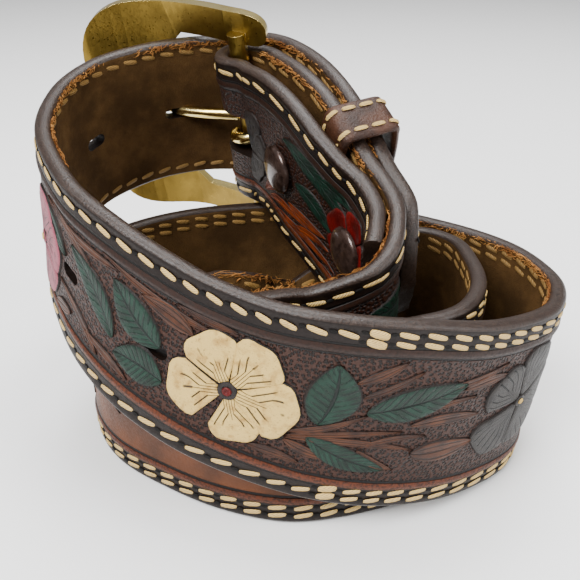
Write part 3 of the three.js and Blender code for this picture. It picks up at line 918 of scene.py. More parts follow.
class Draft:
    """Vertices, faces, material numbers and flat coordinates of a piece in the making."""

    def __init__(self, name: str) -> None:
        """Start an empty draft.

        Args:
            name: the name of the piece.
        """
        self.name = name
        self.places: list[np.ndarray] = []
        self.coords: dict[str, list[np.ndarray]] = {"belt": [], "motif": [], "edge": []}
        self.faces: list[tuple[int, ...]] = []
        self.slots: list[int] = []
        self.count = 0

    def grid(self, points: np.ndarray, slots: Slots, closed: tuple[bool, bool] = (False, False),
             **coords: np.ndarray) -> None:
        """Add a grid of points and its faces.

        Args:
            points: places in metres, in rows and columns.
            slots: material number, or a function that gives it for a row and a column.
            closed: whether the rows and the columns close on themselves.
            **coords: flat coordinates of the points for the UV layers.
        """
        rows, columns = points.shape[:2]
        self.places.append(points.reshape(-1, 3))
        for key, kept in self.coords.items():
            kept.append(coords.get(key, np.zeros((rows, columns, 2))).reshape(-1, 2))
        for row in range(rows if closed[0] else rows - 1):
            for column in range(columns if closed[1] else columns - 1):
                near, far = row * columns, ((row + 1) % rows) * columns
                other = (column + 1) % columns
                self.faces.append(tuple(self.count + k for k in
                                        (near + column, near + other, far + other, far + column)))
                self.slots.append(slots(row, column) if callable(slots) else slots)
        self.count += rows * columns

    def cap(self, start: int, size: int, slot: int) -> None:
        """Close a ring with one face.

        Args:
            start: number of the ring's first point.
            size: how many points it has.
            slot: material number.
        """
        self.faces.append(tuple(range(start, start + size)))
        self.slots.append(slot)

    def tube(self, rings: np.ndarray, slots: Slots, end_slot: int, **coords: np.ndarray) -> None:
        """Add a closed tube through rings.

        Args:
            rings: places in metres, a row for each ring.
            slots: material number or function, as for a grid.
            end_slot: material number of both ends.
            **coords: flat coordinates, as for a grid.
        """
        first, size = self.count, rings.shape[1]
        self.grid(rings, slots, (False, True), **coords)
        for start in (first, self.count - size):
            self.cap(start, size, end_slot)

    def build(self, materials: Sequence[Material], smooth: float) -> Piece:
        """Make the object.

        Args:
            materials: its materials, in the order of their numbers.
            smooth: angle in degrees above which an edge stays sharp.

        Returns:
            The object, at the origin.
        """
        mesh = bpy.data.meshes.new(self.name)
        mesh.from_pydata(np.vstack(self.places).tolist(), [], self.faces)
        loops = np.array([loop.vertex_index for loop in mesh.loops])
        for key, kept in self.coords.items():
            layer = mesh.uv_layers.new(name=key)
            layer.data.foreach_set("uv", np.vstack(kept)[loops].ravel())
        mesh.polygons.foreach_set("material_index", self.slots)
        made = bpy.data.objects.new(self.name, mesh)
        bpy.context.collection.objects.link(made)
        for material in materials:
            mesh.materials.append(material)
        face_out(made)
        smooth_by_angle(made, smooth)
        return made


def only(made: Piece) -> None:
    """Select one object alone and make it active.

    Args:
        made: the object.
    """
    bpy.ops.object.select_all(action="DESELECT")
    made.select_set(True)
    bpy.context.view_layer.objects.active = made


def face_out(made: Piece) -> None:
    """Turn all faces outward.

    Args:
        made: the object.
    """
    work = bmesh.new()
    work.from_mesh(made.data)
    bmesh.ops.recalc_face_normals(work, faces=work.faces)
    work.to_mesh(made.data)
    work.free()


def smooth_by_angle(made: Piece, degrees: float) -> None:
    """Smooth shading, with edges sharper than an angle kept."""
    only(made)
    bpy.ops.object.shade_smooth_by_angle(angle=math.radians(degrees))


def apply_modifier(made: Piece, kind: str, **settings: object) -> None:
    """Add a modifier and apply it.

    Args:
        made: the object.
        kind: the modifier's type.
        **settings: its properties.
    """
    only(made)
    modifier = made.modifiers.new(kind.lower(), kind)
    for key, value in settings.items():
        setattr(modifier, key, value)
    bpy.ops.object.modifier_apply(modifier=modifier.name)


def solid_copy(node: str, name: str, material: Material, degrees: float) -> Piece:
    """Copy of a solid, to be dressed.

    Args:
        node: the solid's name.
        name: the name of the copy.
        material: its finish.
        degrees: angle above which an edge stays sharp.

    Returns:
        The copy.
    """
    source = bpy.data.objects[node]
    made = source.copy()
    made.data = source.data.copy()
    made.name = made.data.name = name
    for key in list(made.keys()):
        del made[key]
    work = bmesh.new()
    work.from_mesh(made.data)
    bmesh.ops.remove_doubles(work, verts=work.verts, dist=0.001 * MM)
    work.to_mesh(made.data)
    work.free()
    made.data.materials.clear()
    made.data.materials.append(material)
    for polygon in made.data.polygons:
        polygon.material_index = 0
    bpy.context.collection.objects.link(made)
    smooth_by_angle(made, degrees)
    return made


ROUND_SIDES = 40


def turned_piece(name: str, section: Sequence[tuple[float, float]], material: Material) -> Piece:
    """Round piece drawn out of a disc, one step for each row of its section.

    Args:
        name: the name of the piece.
        section: radii and heights in millimetres.
        material: its finish.

    Returns:
        The piece, standing on the origin.
    """
    bpy.ops.object.select_all(action="DESELECT")
    radius, height = section[0]
    bpy.ops.mesh.primitive_circle_add(vertices=ROUND_SIDES, radius=radius * MM, fill_type="NGON",
                                      location=(0, 0, height * MM))
    made = bpy.context.active_object
    made.name = made.data.name = name
    bpy.ops.object.transform_apply(location=True, rotation=True, scale=True)
    bpy.ops.object.mode_set(mode="EDIT")
    bpy.ops.mesh.select_all(action="SELECT")
    for next_radius, next_height in section[1:]:
        rise = (0, 0, (next_height - height) * MM)
        bpy.ops.mesh.extrude_region_move(TRANSFORM_OT_translate={"value": rise})
        share = next_radius / radius
        bpy.ops.transform.resize(value=(share, share, 1), center_override=(0, 0, next_height * MM))
        radius, height = next_radius, next_height
    bpy.ops.object.mode_set(mode="OBJECT")
    made.data.materials.append(material)
    return made


@dataclass(frozen=True)
class Strap:
    """The leather strap with its rounded edges, border relief, holes and slot."""

    path: BeltPath
    section: float = 1.6
    insets: tuple[float, ...] = (0.9, 1.6, 2.2, 2.6, 3.0, 3.8, 4.8, 5.3, 5.7, 6.1, 6.5, 6.9, 7.4)
    field_columns: int = 6
    groove_inset: float = 2.6
    groove_half: float = 0.5
    groove_depth: float = 0.22
    ridge_inset: float = 6.1
    ridge_half: float = 0.75
    ridge_height: float = 0.38
    field_inset: float = 6.6
    field_slope: float = 0.8
    field_depth: float = 0.15
    least_half: float = 8.4
    edge_sink: float = 0.15
    edge_angles: tuple[float, ...] = (60, 30, 0, -30, -60)
    edge_span: float = 75.0
    tool_sides: int = 9
    sharp: float = 50.0

    def _across(self, half: float) -> np.ndarray:
        """Columns of a face.

        Args:
            half: half the width.

        Returns:
            Places across the strap.
        """
        inner = half - self.insets[-1]
        low = [-half + i for i in self.insets]
        middle = np.linspace(-inner, inner, self.field_columns + 2)[1:-1]
        return np.array(low + list(middle) + [-v for v in reversed(low)])

    def _relief(self, inset: np.ndarray) -> np.ndarray:
        """Height of the tooled border.

        Args:
            inset: distances from the strap's edge.

        Returns:
            Heights off the face.
        """
        ridge = self.ridge_height * np.exp(-((inset - self.ridge_inset) / self.ridge_half) ** 2)
        groove = self.groove_depth * np.exp(-((inset - self.groove_inset) / self.groove_half) ** 2)
        sunk = self.field_depth * np.clip((inset - self.field_inset) / self.field_slope, 0, 1)
        return ridge - groove - sunk

    def _ring(self, half: float) -> tuple[np.ndarray, np.ndarray]:
        """Section of the strap, shrunk with the tip.

        Args:
            half: half the width there.

        Returns:
            Places across the strap and off its middle.
        """
        full = max(half, self.least_half)
        shrink = half / full
        v = self._across(full) * shrink
        face = SIZES.leather / 2
        angles = np.radians(self.edge_angles)
        round_v = half - SIZES.edge_bevel + SIZES.edge_bevel * np.cos(angles)
        round_n = (face - self.edge_sink) * np.sin(angles) / math.sin(math.radians(self.edge_span))
        relief = self._relief(half - abs(v)) * shrink
        return (np.concatenate([v, round_v, v[::-1], -round_v[::-1]]),
                np.concatenate([face + relief, round_n, np.full(len(v), -face), round_n[::-1]]))

    def _slot(self, _: int, column: int) -> int:
        """Material number of a column.

        Args:
            _: row, which plays no part.
            column: column round the section.

        Returns:
            Zero on the tooled face, one on the suede and two on the edges.
        """
        wide, edge = 2 * len(self.insets) + self.field_columns, len(self.edge_angles)
        if column < wide - 1:
            return 0
        return 1 if wide + edge <= column < 2 * wide + edge - 1 else 2

    def build(self, materials: Sequence[Material]) -> Piece:
        """Make the strap.

        Args:
            materials: the tooled face, the suede back and the edge.

        Returns:
            The strap as one closed mesh with its holes cut.
        """
        path = self.path
        u = np.linspace(path.first, path.last, int((path.last - path.first) / self.section))
        at = path.frames(u)
        rings, flats, edges = [], [], []
        for index, half in enumerate(path.half_width(u)):
            v, n = self._ring(half)
            rings.append(at.middle[index] + np.outer(v, at.up[index]) + np.outer(n, at.out[index]))
            flats.append(np.c_[np.full(len(v), u[index]), v])
            edges.append(np.c_[half - abs(v), n])
        draft = Draft("strap_leather")
        draft.tube(np.array(rings) * MM, self._slot, 2, belt=np.array(flats), edge=np.array(edges))
        made = draft.build(materials, self.sharp)
        self._cut(made)
        smooth_by_angle(made, self.sharp)
        return made

    def _cut(self, made: Piece) -> None:
        """Cut the adjusting holes and the slot.

        Args:
            made: the strap.
        """
        tools = [self._tool(self.path.frames(np.array([u])), 0, SIZES.hole_length,
                            SIZES.hole_width, SIZES.leather) for u in self.path.hole_runs()]
        bar = self.path.frames(HEEL_BAR)
        centre = bar.middle[0] - bar.out[0] * SIZES.bend_radius
        reach = SIZES.bend_radius + SIZES.leather / 2 + SIZES.fit
        tools.append(self._tool(bar._replace(middle=centre[None]), (SIZES.slot_width - reach) / 2,
                                2 * SIZES.slot_length, SIZES.slot_width, reach))
        for tool in tools:
            apply_modifier(made, "BOOLEAN", operation="DIFFERENCE", object=tool, solver="EXACT",
                           material_mode="INDEX")
            bpy.data.objects.remove(tool, do_unlink=True)

    def _tool(self, at: Frames, shift: float, length: float, width: float, reach: float) -> Piece:
        """Round-ended cutting bar across the strap.

        Args:
            at: the frame that it stands in.
            shift: how far it is moved along the strap.
            length: its length along the strap.
            width: its width up the strap.
            reach: how far it sticks out on each side.

        Returns:
            The bar.
        """
        angles = np.radians(np.linspace(-90, 90, self.tool_sides))
        straight = (length - width) / 2
        right = np.c_[straight + width / 2 * np.cos(angles), width / 2 * np.sin(angles)]
        outline = np.vstack([right, -right])
        rings = [at.middle[0] + np.outer(outline[:, 0] + shift, at.travel[0])
                 + np.outer(outline[:, 1], at.up[0]) + lift * at.out[0] for lift in (-reach, reach)]
        draft = Draft("cutting_bar")
        draft.tube(np.array(rings) * MM, 0, 0)
        return draft.build([], 30)


@dataclass(frozen=True)
class Buckle:
    """Cast frame with its rubbed rim, and the wire tongue."""

    rim_round: float = 0.85
    rim_steps: int = 4
    rim_limit: float = 40.0
    back_limit: float = -0.6
    sharp_solid: float = 35.0
    sharp_rim: float = 45.0
    sharp_wire: float = 50.0

    def build_frame(self, path: BeltPath, cast: Material, polished: Material) -> Piece:
        """Round the frame's edges and keep the dull finish for its back alone.

        Args:
            path: the belt's path.
            cast: finish of the back.
            polished: finish of the rest.

        Returns:
            The frame.
        """
        made = solid_copy("buckle_frame", "buckle_cast", cast, self.sharp_solid)
        made.data.materials.append(polished)
        away = Vector(path.buckle_axes()[2])
        for polygon in made.data.polygons:
            polygon.material_index = 0 if polygon.normal @ away < self.back_limit else 1
        apply_modifier(made, "BEVEL", width=self.rim_round * MM, segments=self.rim_steps,
                       limit_method="ANGLE", angle_limit=math.radians(self.rim_limit), material=1)
        smooth_by_angle(made, self.sharp_rim)
        return made

    def build_tongue(self, polished: Material) -> Piece:
        """Wire tongue, a dressed copy of its solid."""
        return solid_copy("tongue", "tongue_wire", polished, self.sharp_wire)


@dataclass(frozen=True)
class Spindle:
    """Shares of a stitch's length and thickness at the six rings of its thread."""

    along: tuple[float, ...]
    girth: tuple[float, ...]

    SIDES = 6

    def rings(self) -> tuple[np.ndarray, np.ndarray, np.ndarray]:
        """Spread the shares over the rings.

        Returns:
            Shares along as rows, girths as rows, and the angles round the thread.
        """
        around = np.radians(np.arange(0, 360, 360 / self.SIDES))
        return np.array(self.along)[:, None], np.array(self.girth)[:, None], around


@dataclass(frozen=True)
class Seams:
    """Rows of stitches along both edges and on both faces."""

    path: BeltPath
    pitch: float = 5.08
    length: float = 3.6
    width: float = 1.15
    proud: float = 0.5
    lift: float = 0.12
    arch: float = 0.3
    sink: float = 0.14
    slant: float = 0.16
    single: tuple[float, ...] = (2.9,)
    double: tuple[float, ...] = (2.3, 4.3)
    second_row: tuple[float, float] = (165.0, 526.0)
    merged: float = 1.5
    start_gap: float = 4.0
    end_gap: float = 5.0
    bend_gap: float = 0.5
    spindle: Spindle = Spindle((-0.5, -0.45, -0.2, 0.2, 0.45, 0.5), (0.3, 0.74, 1, 1, 0.74, 0.3))
    # Size and rings of the dark disc of painted shade at each needle hole.
    pit_half: tuple[float, float] = (0.75, 0.4)
    pit_rings: tuple[tuple[float, float], ...] = ((1.0, -0.1), (0.85, 0.1), (0.1, 0.12))

    def _stitch(self, draft: Draft, u: float, v: float, side: Side, slant: float,
                scale: float) -> None:
        """Add one stitch, and after it on the tooled face a dark disc of painted shade for the
        needle's hole.

        Args:
            draft: the draft of the seam.
            u: place along the strap.
            v: place across it.
            side: the face.
            slant: rise of the stitch along its length.
            scale: its thickness over the usual one.
        """
        along, girth, around = self.spindle.rings()
        thick = girth * scale
        x = along * self.length + np.zeros(Spindle.SIDES)
        y = thick * np.cos(around) * self.width / 2 + x * slant
        h = thick * np.sin(around) * self.proud / 2 + self.proud * (self.lift + self.arch * thick)
        h -= self.sink
        points = self.path.points((u + x).ravel(), (v + y).ravel(), h.ravel(), side)
        draft.tube(points.reshape(*x.shape, 3), 0, 0, belt=np.dstack([x, y]))
        if side is Side.GRAIN:
            self._needle_hole(draft, u + self.pitch / 2, v)

    def _needle_hole(self, draft: Draft, u: float, v: float) -> None:
        """Add a near-black disc between two stitches, painted shade where the needle left its hole.

        Args:
            draft: the draft of the seam.
            u: place along the strap.
            v: place across it.
        """
        angles = np.radians(np.arange(0, 360, 45))
        along, across = self.pit_half[0] * np.cos(angles), self.pit_half[1] * np.sin(angles)
        rings = [self.path.points(u + along * radius, v + across * radius,
                                  np.full(len(angles), height))
                 for radius, height in self.pit_rings]
        draft.tube(np.array(rings), 1, 1)

    def _rows(self, u: float) -> tuple[float, ...]:
        """Insets of the rows at a place: the wide part of the belt has two."""
        return self.double if self.second_row[0] < u < self.second_row[1] else self.single

    def build(self, side: Side, material: Material, name: str) -> Piece:
        """Make all stitches of one face.

        Args:
            side: the face.
            material: the thread's.
            name: the name of the piece.

        Returns:
            The seams of the face as one piece.
        """
        draft = Draft(name)
        phase = 0.0 if side is Side.GRAIN else self.pitch / 2
        runs = np.arange(self.path.first + self.start_gap + phase, self.path.last - self.end_gap,
                         self.pitch)
        for u, half in zip(runs, self.path.half_width(runs)):
            if -SIZES.bend_run - self.bend_gap < u < self.bend_gap and side is Side.FLESH:
                continue
            merge = min(abs(u - end) for end in self.second_row) < self.pitch / 2
            for inset in self._rows(u):
                for edge in (1, -1):
                    self._stitch(draft, u, edge * (half - inset), side,
                                 edge * self.slant * side.value, self.merged if merge else 1.0)
        # Near-black discs stand for the needle holes: painted shade.
        pit = PlainLeather("needle_hole", "0a0604", "050302", 0.8).paint()
        return draft.build([material, pit], 60)


class Dye(Enum):
    """Colours of the tooled flowers and leaves, in the order of the material slots."""

    OUTLINE = 0
    LEAF = 1
    CREAM = 2
    STEM = 3
    GREY = 4
    PINK = 5
    RED = 6
    AMBER = 7
    SLATE = 8


class Leaf(NamedTuple):
    """Leaf or spray from its base to its tip, in u and v."""

    base: tuple[float, float]
    tip: tuple[float, float]
    width: float
    bend: float
    dye: Dye


class Bloom(NamedTuple):
    """Flower with petals round its middle, each at an angle with a reach and a half angle."""

    middle: tuple[float, float]
    petals: tuple[tuple[float, float, float], ...]
    heart: float
    dye: Dye


FRONT_LEAVES = (
    Leaf((559, -5.5), (571, -6.5), 8.6, 0.8, Dye.LEAF),
    Leaf((561.5, 1), (575, 8.5), 8.6, -1.2, Dye.LEAF),
    Leaf((572, -4), (588, 7.5), 6.4, 1.0, Dye.LEAF),
    Leaf((529.5, -2), (529, 12), 10.6, 1.2, Dye.LEAF),
    Leaf((521.5, 2), (503, 9.5), 8.2, 0.8, Dye.LEAF),
    Leaf((531, -5.5), (514, -11.5), 5.6, 1.0, Dye.LEAF),
    Leaf((535, -5), (521, 1.5), 1.7, 0.8, Dye.STEM),
    Leaf((535, -6), (513, -2), 1.5, -0.5, Dye.STEM),
    Leaf((535, -6.5), (509, -6.5), 1.9, -1.2, Dye.STEM),
    Leaf((521, -6.5), (507.5, -3), 1.6, -1.0, Dye.STEM),
    Leaf((521, -7), (512, -11.5), 2.2, 0.8, Dye.STEM),
    Leaf((509.5, -7.5), (495.5, -5.5), 5.8, 0.5, Dye.STEM),
    Leaf((516, 0.5), (499, 6.2), 1.9, -0.8, Dye.STEM),
    Leaf((512, -0.5), (496.5, 1.5), 3.0, -0.6, Dye.STEM),
    Leaf((508, 8.5), (493, 13), 1.9, 0.6, Dye.STEM),
    Leaf((503, 8), (491.5, 10), 2.8, -0.5, Dye.STEM),
    Leaf((525, 8.5), (517, 14.2), 2.4, 0.5, Dye.STEM),
    Leaf((523, 5.5), (513.5, 12.2), 1.8, 0.6, Dye.STEM),
    Leaf((541, -10.5), (531, -12), 2.2, -0.4, Dye.STEM),
    Leaf((535, -7), (526, -9.8), 2.6, 0.5, Dye.STEM),
    Leaf((556, 7.5), (568.5, 9.2), 4.2, 0.6, Dye.STEM),
    Leaf((551.5, 9.8), (579, 12), 1.9, -0.9, Dye.STEM),
    Leaf((548, 12), (561, 11.8), 1.5, -0.4, Dye.STEM),
    Leaf((574, 10.5), (600, 11), 2.0, -0.8, Dye.STEM),
    Leaf((579, 4.5), (598, 12), 2.2, 1.0, Dye.STEM),
    Leaf((575, -11), (592, -4), 2.0, 0.9, Dye.STEM),
    Leaf((566, -10.5), (581, -8.5), 2.0, 0.5, Dye.STEM),
    Leaf((590, 3), (606, 9), 4.4, 0.8, Dye.LEAF),
    Leaf((586, -9), (594, -12), 3.2, 0.4, Dye.STEM),
    Leaf((618, 5), (634, 10), 2.2, 0.8, Dye.STEM),
    Leaf((616, -8), (631, -11), 4.6, 0.8, Dye.LEAF),
    Leaf((620, 0), (636, 2), 5.4, -0.8, Dye.LEAF),
)

FRONT_BLOOMS = (
    Bloom((546.8, -0.2), ((128, 12.4, 36), (62, 13.0, 34), (-6, 13.8, 37.5), (203, 12.4, 39),
                        (-68, 11.6, 33.5)), 2.1, Dye.CREAM),
    Bloom((484.5, 1.5), ((70, 13.6, 37), (4, 12.4, 37), (-58, 13.2, 36), (-124, 14.0, 38),
                         (144, 12.0, 40)), 1.5, Dye.GREY),
    Bloom((603, -2), ((90, 11.8, 41), (20, 11.2, 41), (-52, 12.0, 41), (-124, 12.0, 41),
                      (162, 11.0, 41)), 1.8, Dye.PINK),
)

FOLD_LEAVES = (
    Leaf((24, 9), (50, 6), 5.2, 1.8, Dye.LEAF),
    Leaf((31, 2), (46, -0.5), 5.0, 1.0, Dye.LEAF),
    Leaf((36, 9.5), (49, 11), 3.6, 0.8, Dye.LEAF),
    Leaf((16, -11), (28, -5.5), 3.4, 1.0, Dye.AMBER),
    Leaf((19, -12), (38, -7), 2.6, 0.8, Dye.AMBER),
    Leaf((24, -13), (50, -9.5), 2.4, 0.6, Dye.AMBER),
    Leaf((30, -6), (44, -3.5), 3.0, -0.8, Dye.AMBER),
    Leaf((34, -11), (46, -6), 2.4, 0.9, Dye.AMBER),
    Leaf((40, -13.5), (60, -11.5), 2.2, 0.4, Dye.AMBER),
)

FOLD_BLOOMS = (
    Bloom((9.5, -2), ((78, 10.5, 34), (20, 8.5, 32), (-36, 8.5, 32), (-84, 9.0, 30)), 0.0,
          Dye.SLATE),
    Bloom((52, 2.5), ((90, 9.5, 36), (18, 9.5, 36), (-54, 9.5, 36), (-126, 9.5, 36),
                      (162, 9.5, 36)), 0.0, Dye.RED),
)

PANEL_SCROLLS = (
    Leaf((298, 1), (276, -10.5), 0.9, -2.4, Dye.OUTLINE),
    Leaf((294, -4.5), (280, -9.8), 1.5, -1.6, Dye.OUTLINE),
    Leaf((312, 6), (303, -7), 0.9, 2.0, Dye.OUTLINE),
    Leaf((309, 3), (303.5, -4), 1.4, 1.2, Dye.OUTLINE),
    Leaf((290, 9), (272, 4), 0.9, 1.8, Dye.OUTLINE),
)

# How far the pattern is moved along the strap where it comes again.
PATTERN_OFFSETS = (-500.0, -412.0, -324.0, 152.0)
SCROLL_OFFSETS = (-20.0, 0.0, 42.0, 84.0)
SPRAY_OFFSET = -60.0
LONE_BLOOM_OFFSET = -99.0
REPEATED_LEAVES = FRONT_LEAVES[:20]
SPRAY = FRONT_LEAVES[6:13]


@dataclass(frozen=True)
class Tooling:
    """Raised, dyed flowers, leaves and stems on the strap's face."""

    path: BeltPath
    draft: Draft = field(default_factory=lambda: Draft("tooled_flowers"))
    sink: float = 0.12
    leaf_steps: int = 13
    petal_steps: int = 15
    heart_sides: int = 20
    heart_lifts: tuple[float, float] = (2.0, 2.6)
    broad: float = 3.0
    lifts: tuple[float, float] = (0.85, 0.6)
    petal_lift: float = 1.15
    petal_lift_step: float = 0.14

    RINGS = ((1.0, -0.1), (0.965, 0.1), (0.9, 0.34), (0.72, 0.42), (0.4, 0.36), (0.04, 0.22))
    PETAL_RINGS = ((1.0, -0.1), (0.99, 0.12), (0.955, 0.3), (0.8, 0.46), (0.4, 0.36), (0.04, 0.26))
    PETAL_CORE = 0.55
    OUTLINE_RINGS = 2

    def _motif(self, outline: np.ndarray, spine: np.ndarray, motif: np.ndarray, dye: Dye,
               lift: float, petal: bool = False) -> None:
        """Add one raised shape, in rings that shrink from its outline.

        Args:
            outline: u and v of the points round it.
            spine: for each of them, the point that the rings shrink to.
            motif: for each of them, its share along and across the shape.
            dye: its colour.
            lift: how high it stands, over the heights of the rings.
            petal: whether it is a petal, with a fuller edge and its own middle.
        """
        rings, flats, heights = [], [], []
        for share, height in self.PETAL_RINGS if petal else self.RINGS:
            rings.append(spine + (outline - spine) * share)
            along = motif[:, 0]
            if petal:
                along = self.PETAL_CORE + (along - self.PETAL_CORE) * share
            flats.append(np.c_[along, motif[:, 1] * share])
            heights.append(np.full(len(outline), height * lift))
        flat = np.array(rings)
        points = self.path.points(flat[..., 0].ravel(), flat[..., 1].ravel(),
                                  np.array(heights).ravel() - self.sink)
        self.draft.grid(points.reshape(*flat.shape[:2], 3),
                        lambda row, _: (Dye.OUTLINE if row < self.OUTLINE_RINGS else dye).value,
                        (False, True), belt=flat, motif=np.array(flats))
        self.draft.cap(self.draft.count - len(outline), len(outline), dye.value)

    def leaf(self, leaf: Leaf, offset: float = 0.0) -> None:
        """Add a leaf, spray or stem.

        Args:
            leaf: its row.
            offset: how far it is moved along the strap.
        """
        steps = self.leaf_steps
        base, tip = np.array(leaf.base), np.array(leaf.tip)
        along = tip - base
        side = np.array([-along[1], along[0]]) / np.linalg.norm(along)
        share = (1 - np.cos(np.linspace(0, math.pi, steps))) / 2
        half = leaf.width / 2 * np.sin(math.pi * share**0.85) ** 0.75
        middle = base + np.outer(share, along) + np.outer(4 * leaf.bend * share * (1 - share), side)
        middle[:, 0] += offset
        upper, lower = middle + np.outer(half, side), middle - np.outer(half, side)
        motif = np.c_[np.concatenate([share, share[-2:0:-1]]),
                      np.repeat([1.0, -1.0], (steps, steps - 2))]
        self._motif(np.vstack([upper, lower[-2:0:-1]]), np.vstack([middle, middle[-2:0:-1]]),
                    motif, leaf.dye, self.lifts[0 if leaf.width > self.broad else 1])

    def bloom(self, bloom: Bloom, offset: float = 0.0) -> None:
        """Add a flower's petals and its heart.

        Args:
            bloom: its row.
            offset: how far it is moved along the strap.
        """
        middle = np.array(bloom.middle) + (offset, 0)
        sweep = np.linspace(-1, 1, self.petal_steps)
        for order, (angle, reach, half) in enumerate(bloom.petals):
            aim = math.radians(180 - angle)
            angles = aim + sweep * math.radians(half)
            edge = reach * (1 - 0.1 * sweep**2 - 0.1 * sweep**6 + 0.02 * np.sin(sweep * 7 + order))
            rim = middle + np.c_[edge * np.cos(angles), edge * np.sin(angles)]
            root = middle + 0.1 * np.array([math.cos(aim), math.sin(aim)])
            left = root + (rim[0] - root) * np.array([0.3, 0.65])[:, None]
            right = root + (rim[-1] - root) * np.array([0.65, 0.3])[:, None]
            outline = np.vstack([[root], left, rim, right])
            motif = np.c_[np.concatenate([[0, 0.3, 0.6], edge / reach, [0.6, 0.3]]),
                          np.concatenate([[0, -1, -1], sweep, [1, 1]])]
            core = root * (1 - self.PETAL_CORE) + rim[self.petal_steps // 2] * self.PETAL_CORE
            lift = self.petal_lift + self.petal_lift_step * (order % 3)
            self._motif(outline, core[None], motif, bloom.dye, lift, True)
        if bloom.heart:
            self._heart(middle, bloom)

    def _heart(self, middle: np.ndarray, bloom: Bloom) -> None:
        """Add a flower's ring of stamens and its dot.

        Args:
            middle: u and v of the flower's middle.
            bloom: its row.
        """
        cream = bloom.dye is Dye.CREAM
        dyes = (Dye.SLATE, Dye.RED) if cream else (bloom.dye, Dye.CREAM)
        angles = np.linspace(0, 2 * math.pi, self.heart_sides, endpoint=False)
        motif = np.c_[np.full(self.heart_sides, 0.95), angles / math.pi - 1]
        for share, dye, lift in zip((1.0, 0.5), dyes, self.heart_lifts):
            outline = middle + bloom.heart * share * np.c_[np.cos(angles), np.sin(angles)]
            self._motif(outline, middle[None], motif, dye, lift)

    def build(self, materials: Sequence[Material]) -> Piece:
        """Place all motifs and make the piece.

        Args:
            materials: the finishes, in the order of Dye.

        Returns:
            The tooling as one piece.
        """
        for leaf in FRONT_LEAVES:
            self.leaf(leaf)
        for bloom in FRONT_BLOOMS:
            self.bloom(bloom)
        folded = -SIZES.bend_run
        for leaf in FOLD_LEAVES:
            self.leaf(leaf._replace(base=(folded - leaf.base[0], leaf.base[1]),
                                    tip=(folded - leaf.tip[0], leaf.tip[1]), bend=-leaf.bend))
        for bloom in FOLD_BLOOMS:
            self.bloom(bloom._replace(middle=(folded - bloom.middle[0], bloom.middle[1])))
        for offset in PATTERN_OFFSETS:
            for leaf in REPEATED_LEAVES:
                self.leaf(leaf, offset)
            self.bloom(FRONT_BLOOMS[0], offset)
        for offset in SCROLL_OFFSETS:
            for cut in PANEL_SCROLLS:
                self.leaf(cut, offset)
        for leaf in SPRAY:
            self.leaf(leaf, SPRAY_OFFSET)
        self.bloom(FRONT_BLOOMS[0], LONE_BLOOM_OFFSET)
        return self.draft.build(materials, 60)


@dataclass(frozen=True)
class Fuzz:
    """Loose leather fibres along the cut upper edge of the suede side."""

    stretches: tuple[tuple[float, float], ...] = ((4, 150), (392, 480), (600, 735))
    per_mm: float = 9.0
    longest: float = 2.4
    thick: float = 0.14
    taper: float = 0.75
    stray: float = 0.4
    sink: float = 0.05
    rings: int = 4
    sides: int = 3
    corner_turn: float = 2.1
    seed: int = 7

    def build(self, path: BeltPath, material: Material) -> Piece:
        """Make the fibres.

        Args:
            path: the belt's path.
            material: their finish.

        Returns:
            The fibres as one piece.
        """
        rng = np.random.default_rng(self.seed)
        draft = Draft("leather_fibres")
        for start, end in self.stretches:
            runs = rng.uniform(start, end, int((end - start) * self.per_mm))
            tufts = np.sin(runs * 0.21) + np.sin(runs * 0.083 + 1)
            runs = runs[tufts > rng.uniform(-1.8, 1.2, len(runs))]
            for u, half in zip(runs, path.half_width(runs)):
                self._fibre(draft, path, rng, u, half)
        return draft.build([material], 80)

    def _fibre(self, draft: Draft, path: BeltPath, rng: np.random.Generator, u: float,
               half: float) -> None:
        """Add one short bent strand.

        Args:
            draft: the draft of the fibres.
            path: the belt's path.
            rng: the source of chance.
            u: place along the strap.
            half: half the strap's width there.
        """
        length = self.longest * rng.uniform(0.3, 1)
        turn = rng.uniform(0, 2 * math.pi)
        share = np.linspace(0, 1, self.rings)[:, None]
        du = length * np.cos(turn) * share + self.stray * rng.normal() * share**2
        dv = length * 0.5 * np.sin(turn) * share
        lift = 0.02 + length * rng.uniform(0.1, 0.35) * np.sin(share * 2.6)
        v = half - rng.uniform(0.35, 1.7)
        angle = np.arange(self.sides) * self.corner_turn
        wide = self.thick * (1 - self.taper * share)
        points = path.points((u + du + wide * np.cos(angle)).ravel(),
                             (np.minimum(v + dv, half) + wide * np.sin(angle)).ravel(),
                             (lift + wide * np.sin(angle + 1) - self.sink).ravel(), Side.FLESH)
        draft.tube(points.reshape(self.rings, self.sides, 3), 0, 0)


def curve(share: np.ndarray, *knots: tuple[float, float]) -> np.ndarray:
    """Curve from one point to another, drawn toward a third.

    Args:
        share: shares of the way.
        *knots: the start, the point that draws, and the end.

    Returns:
        A point for each share.
    """
    a, b, c = (np.array(knot) for knot in knots)
    share = share[:, None]
    return a * (1 - share) ** 2 + 2 * b * share * (1 - share) + c * share**2


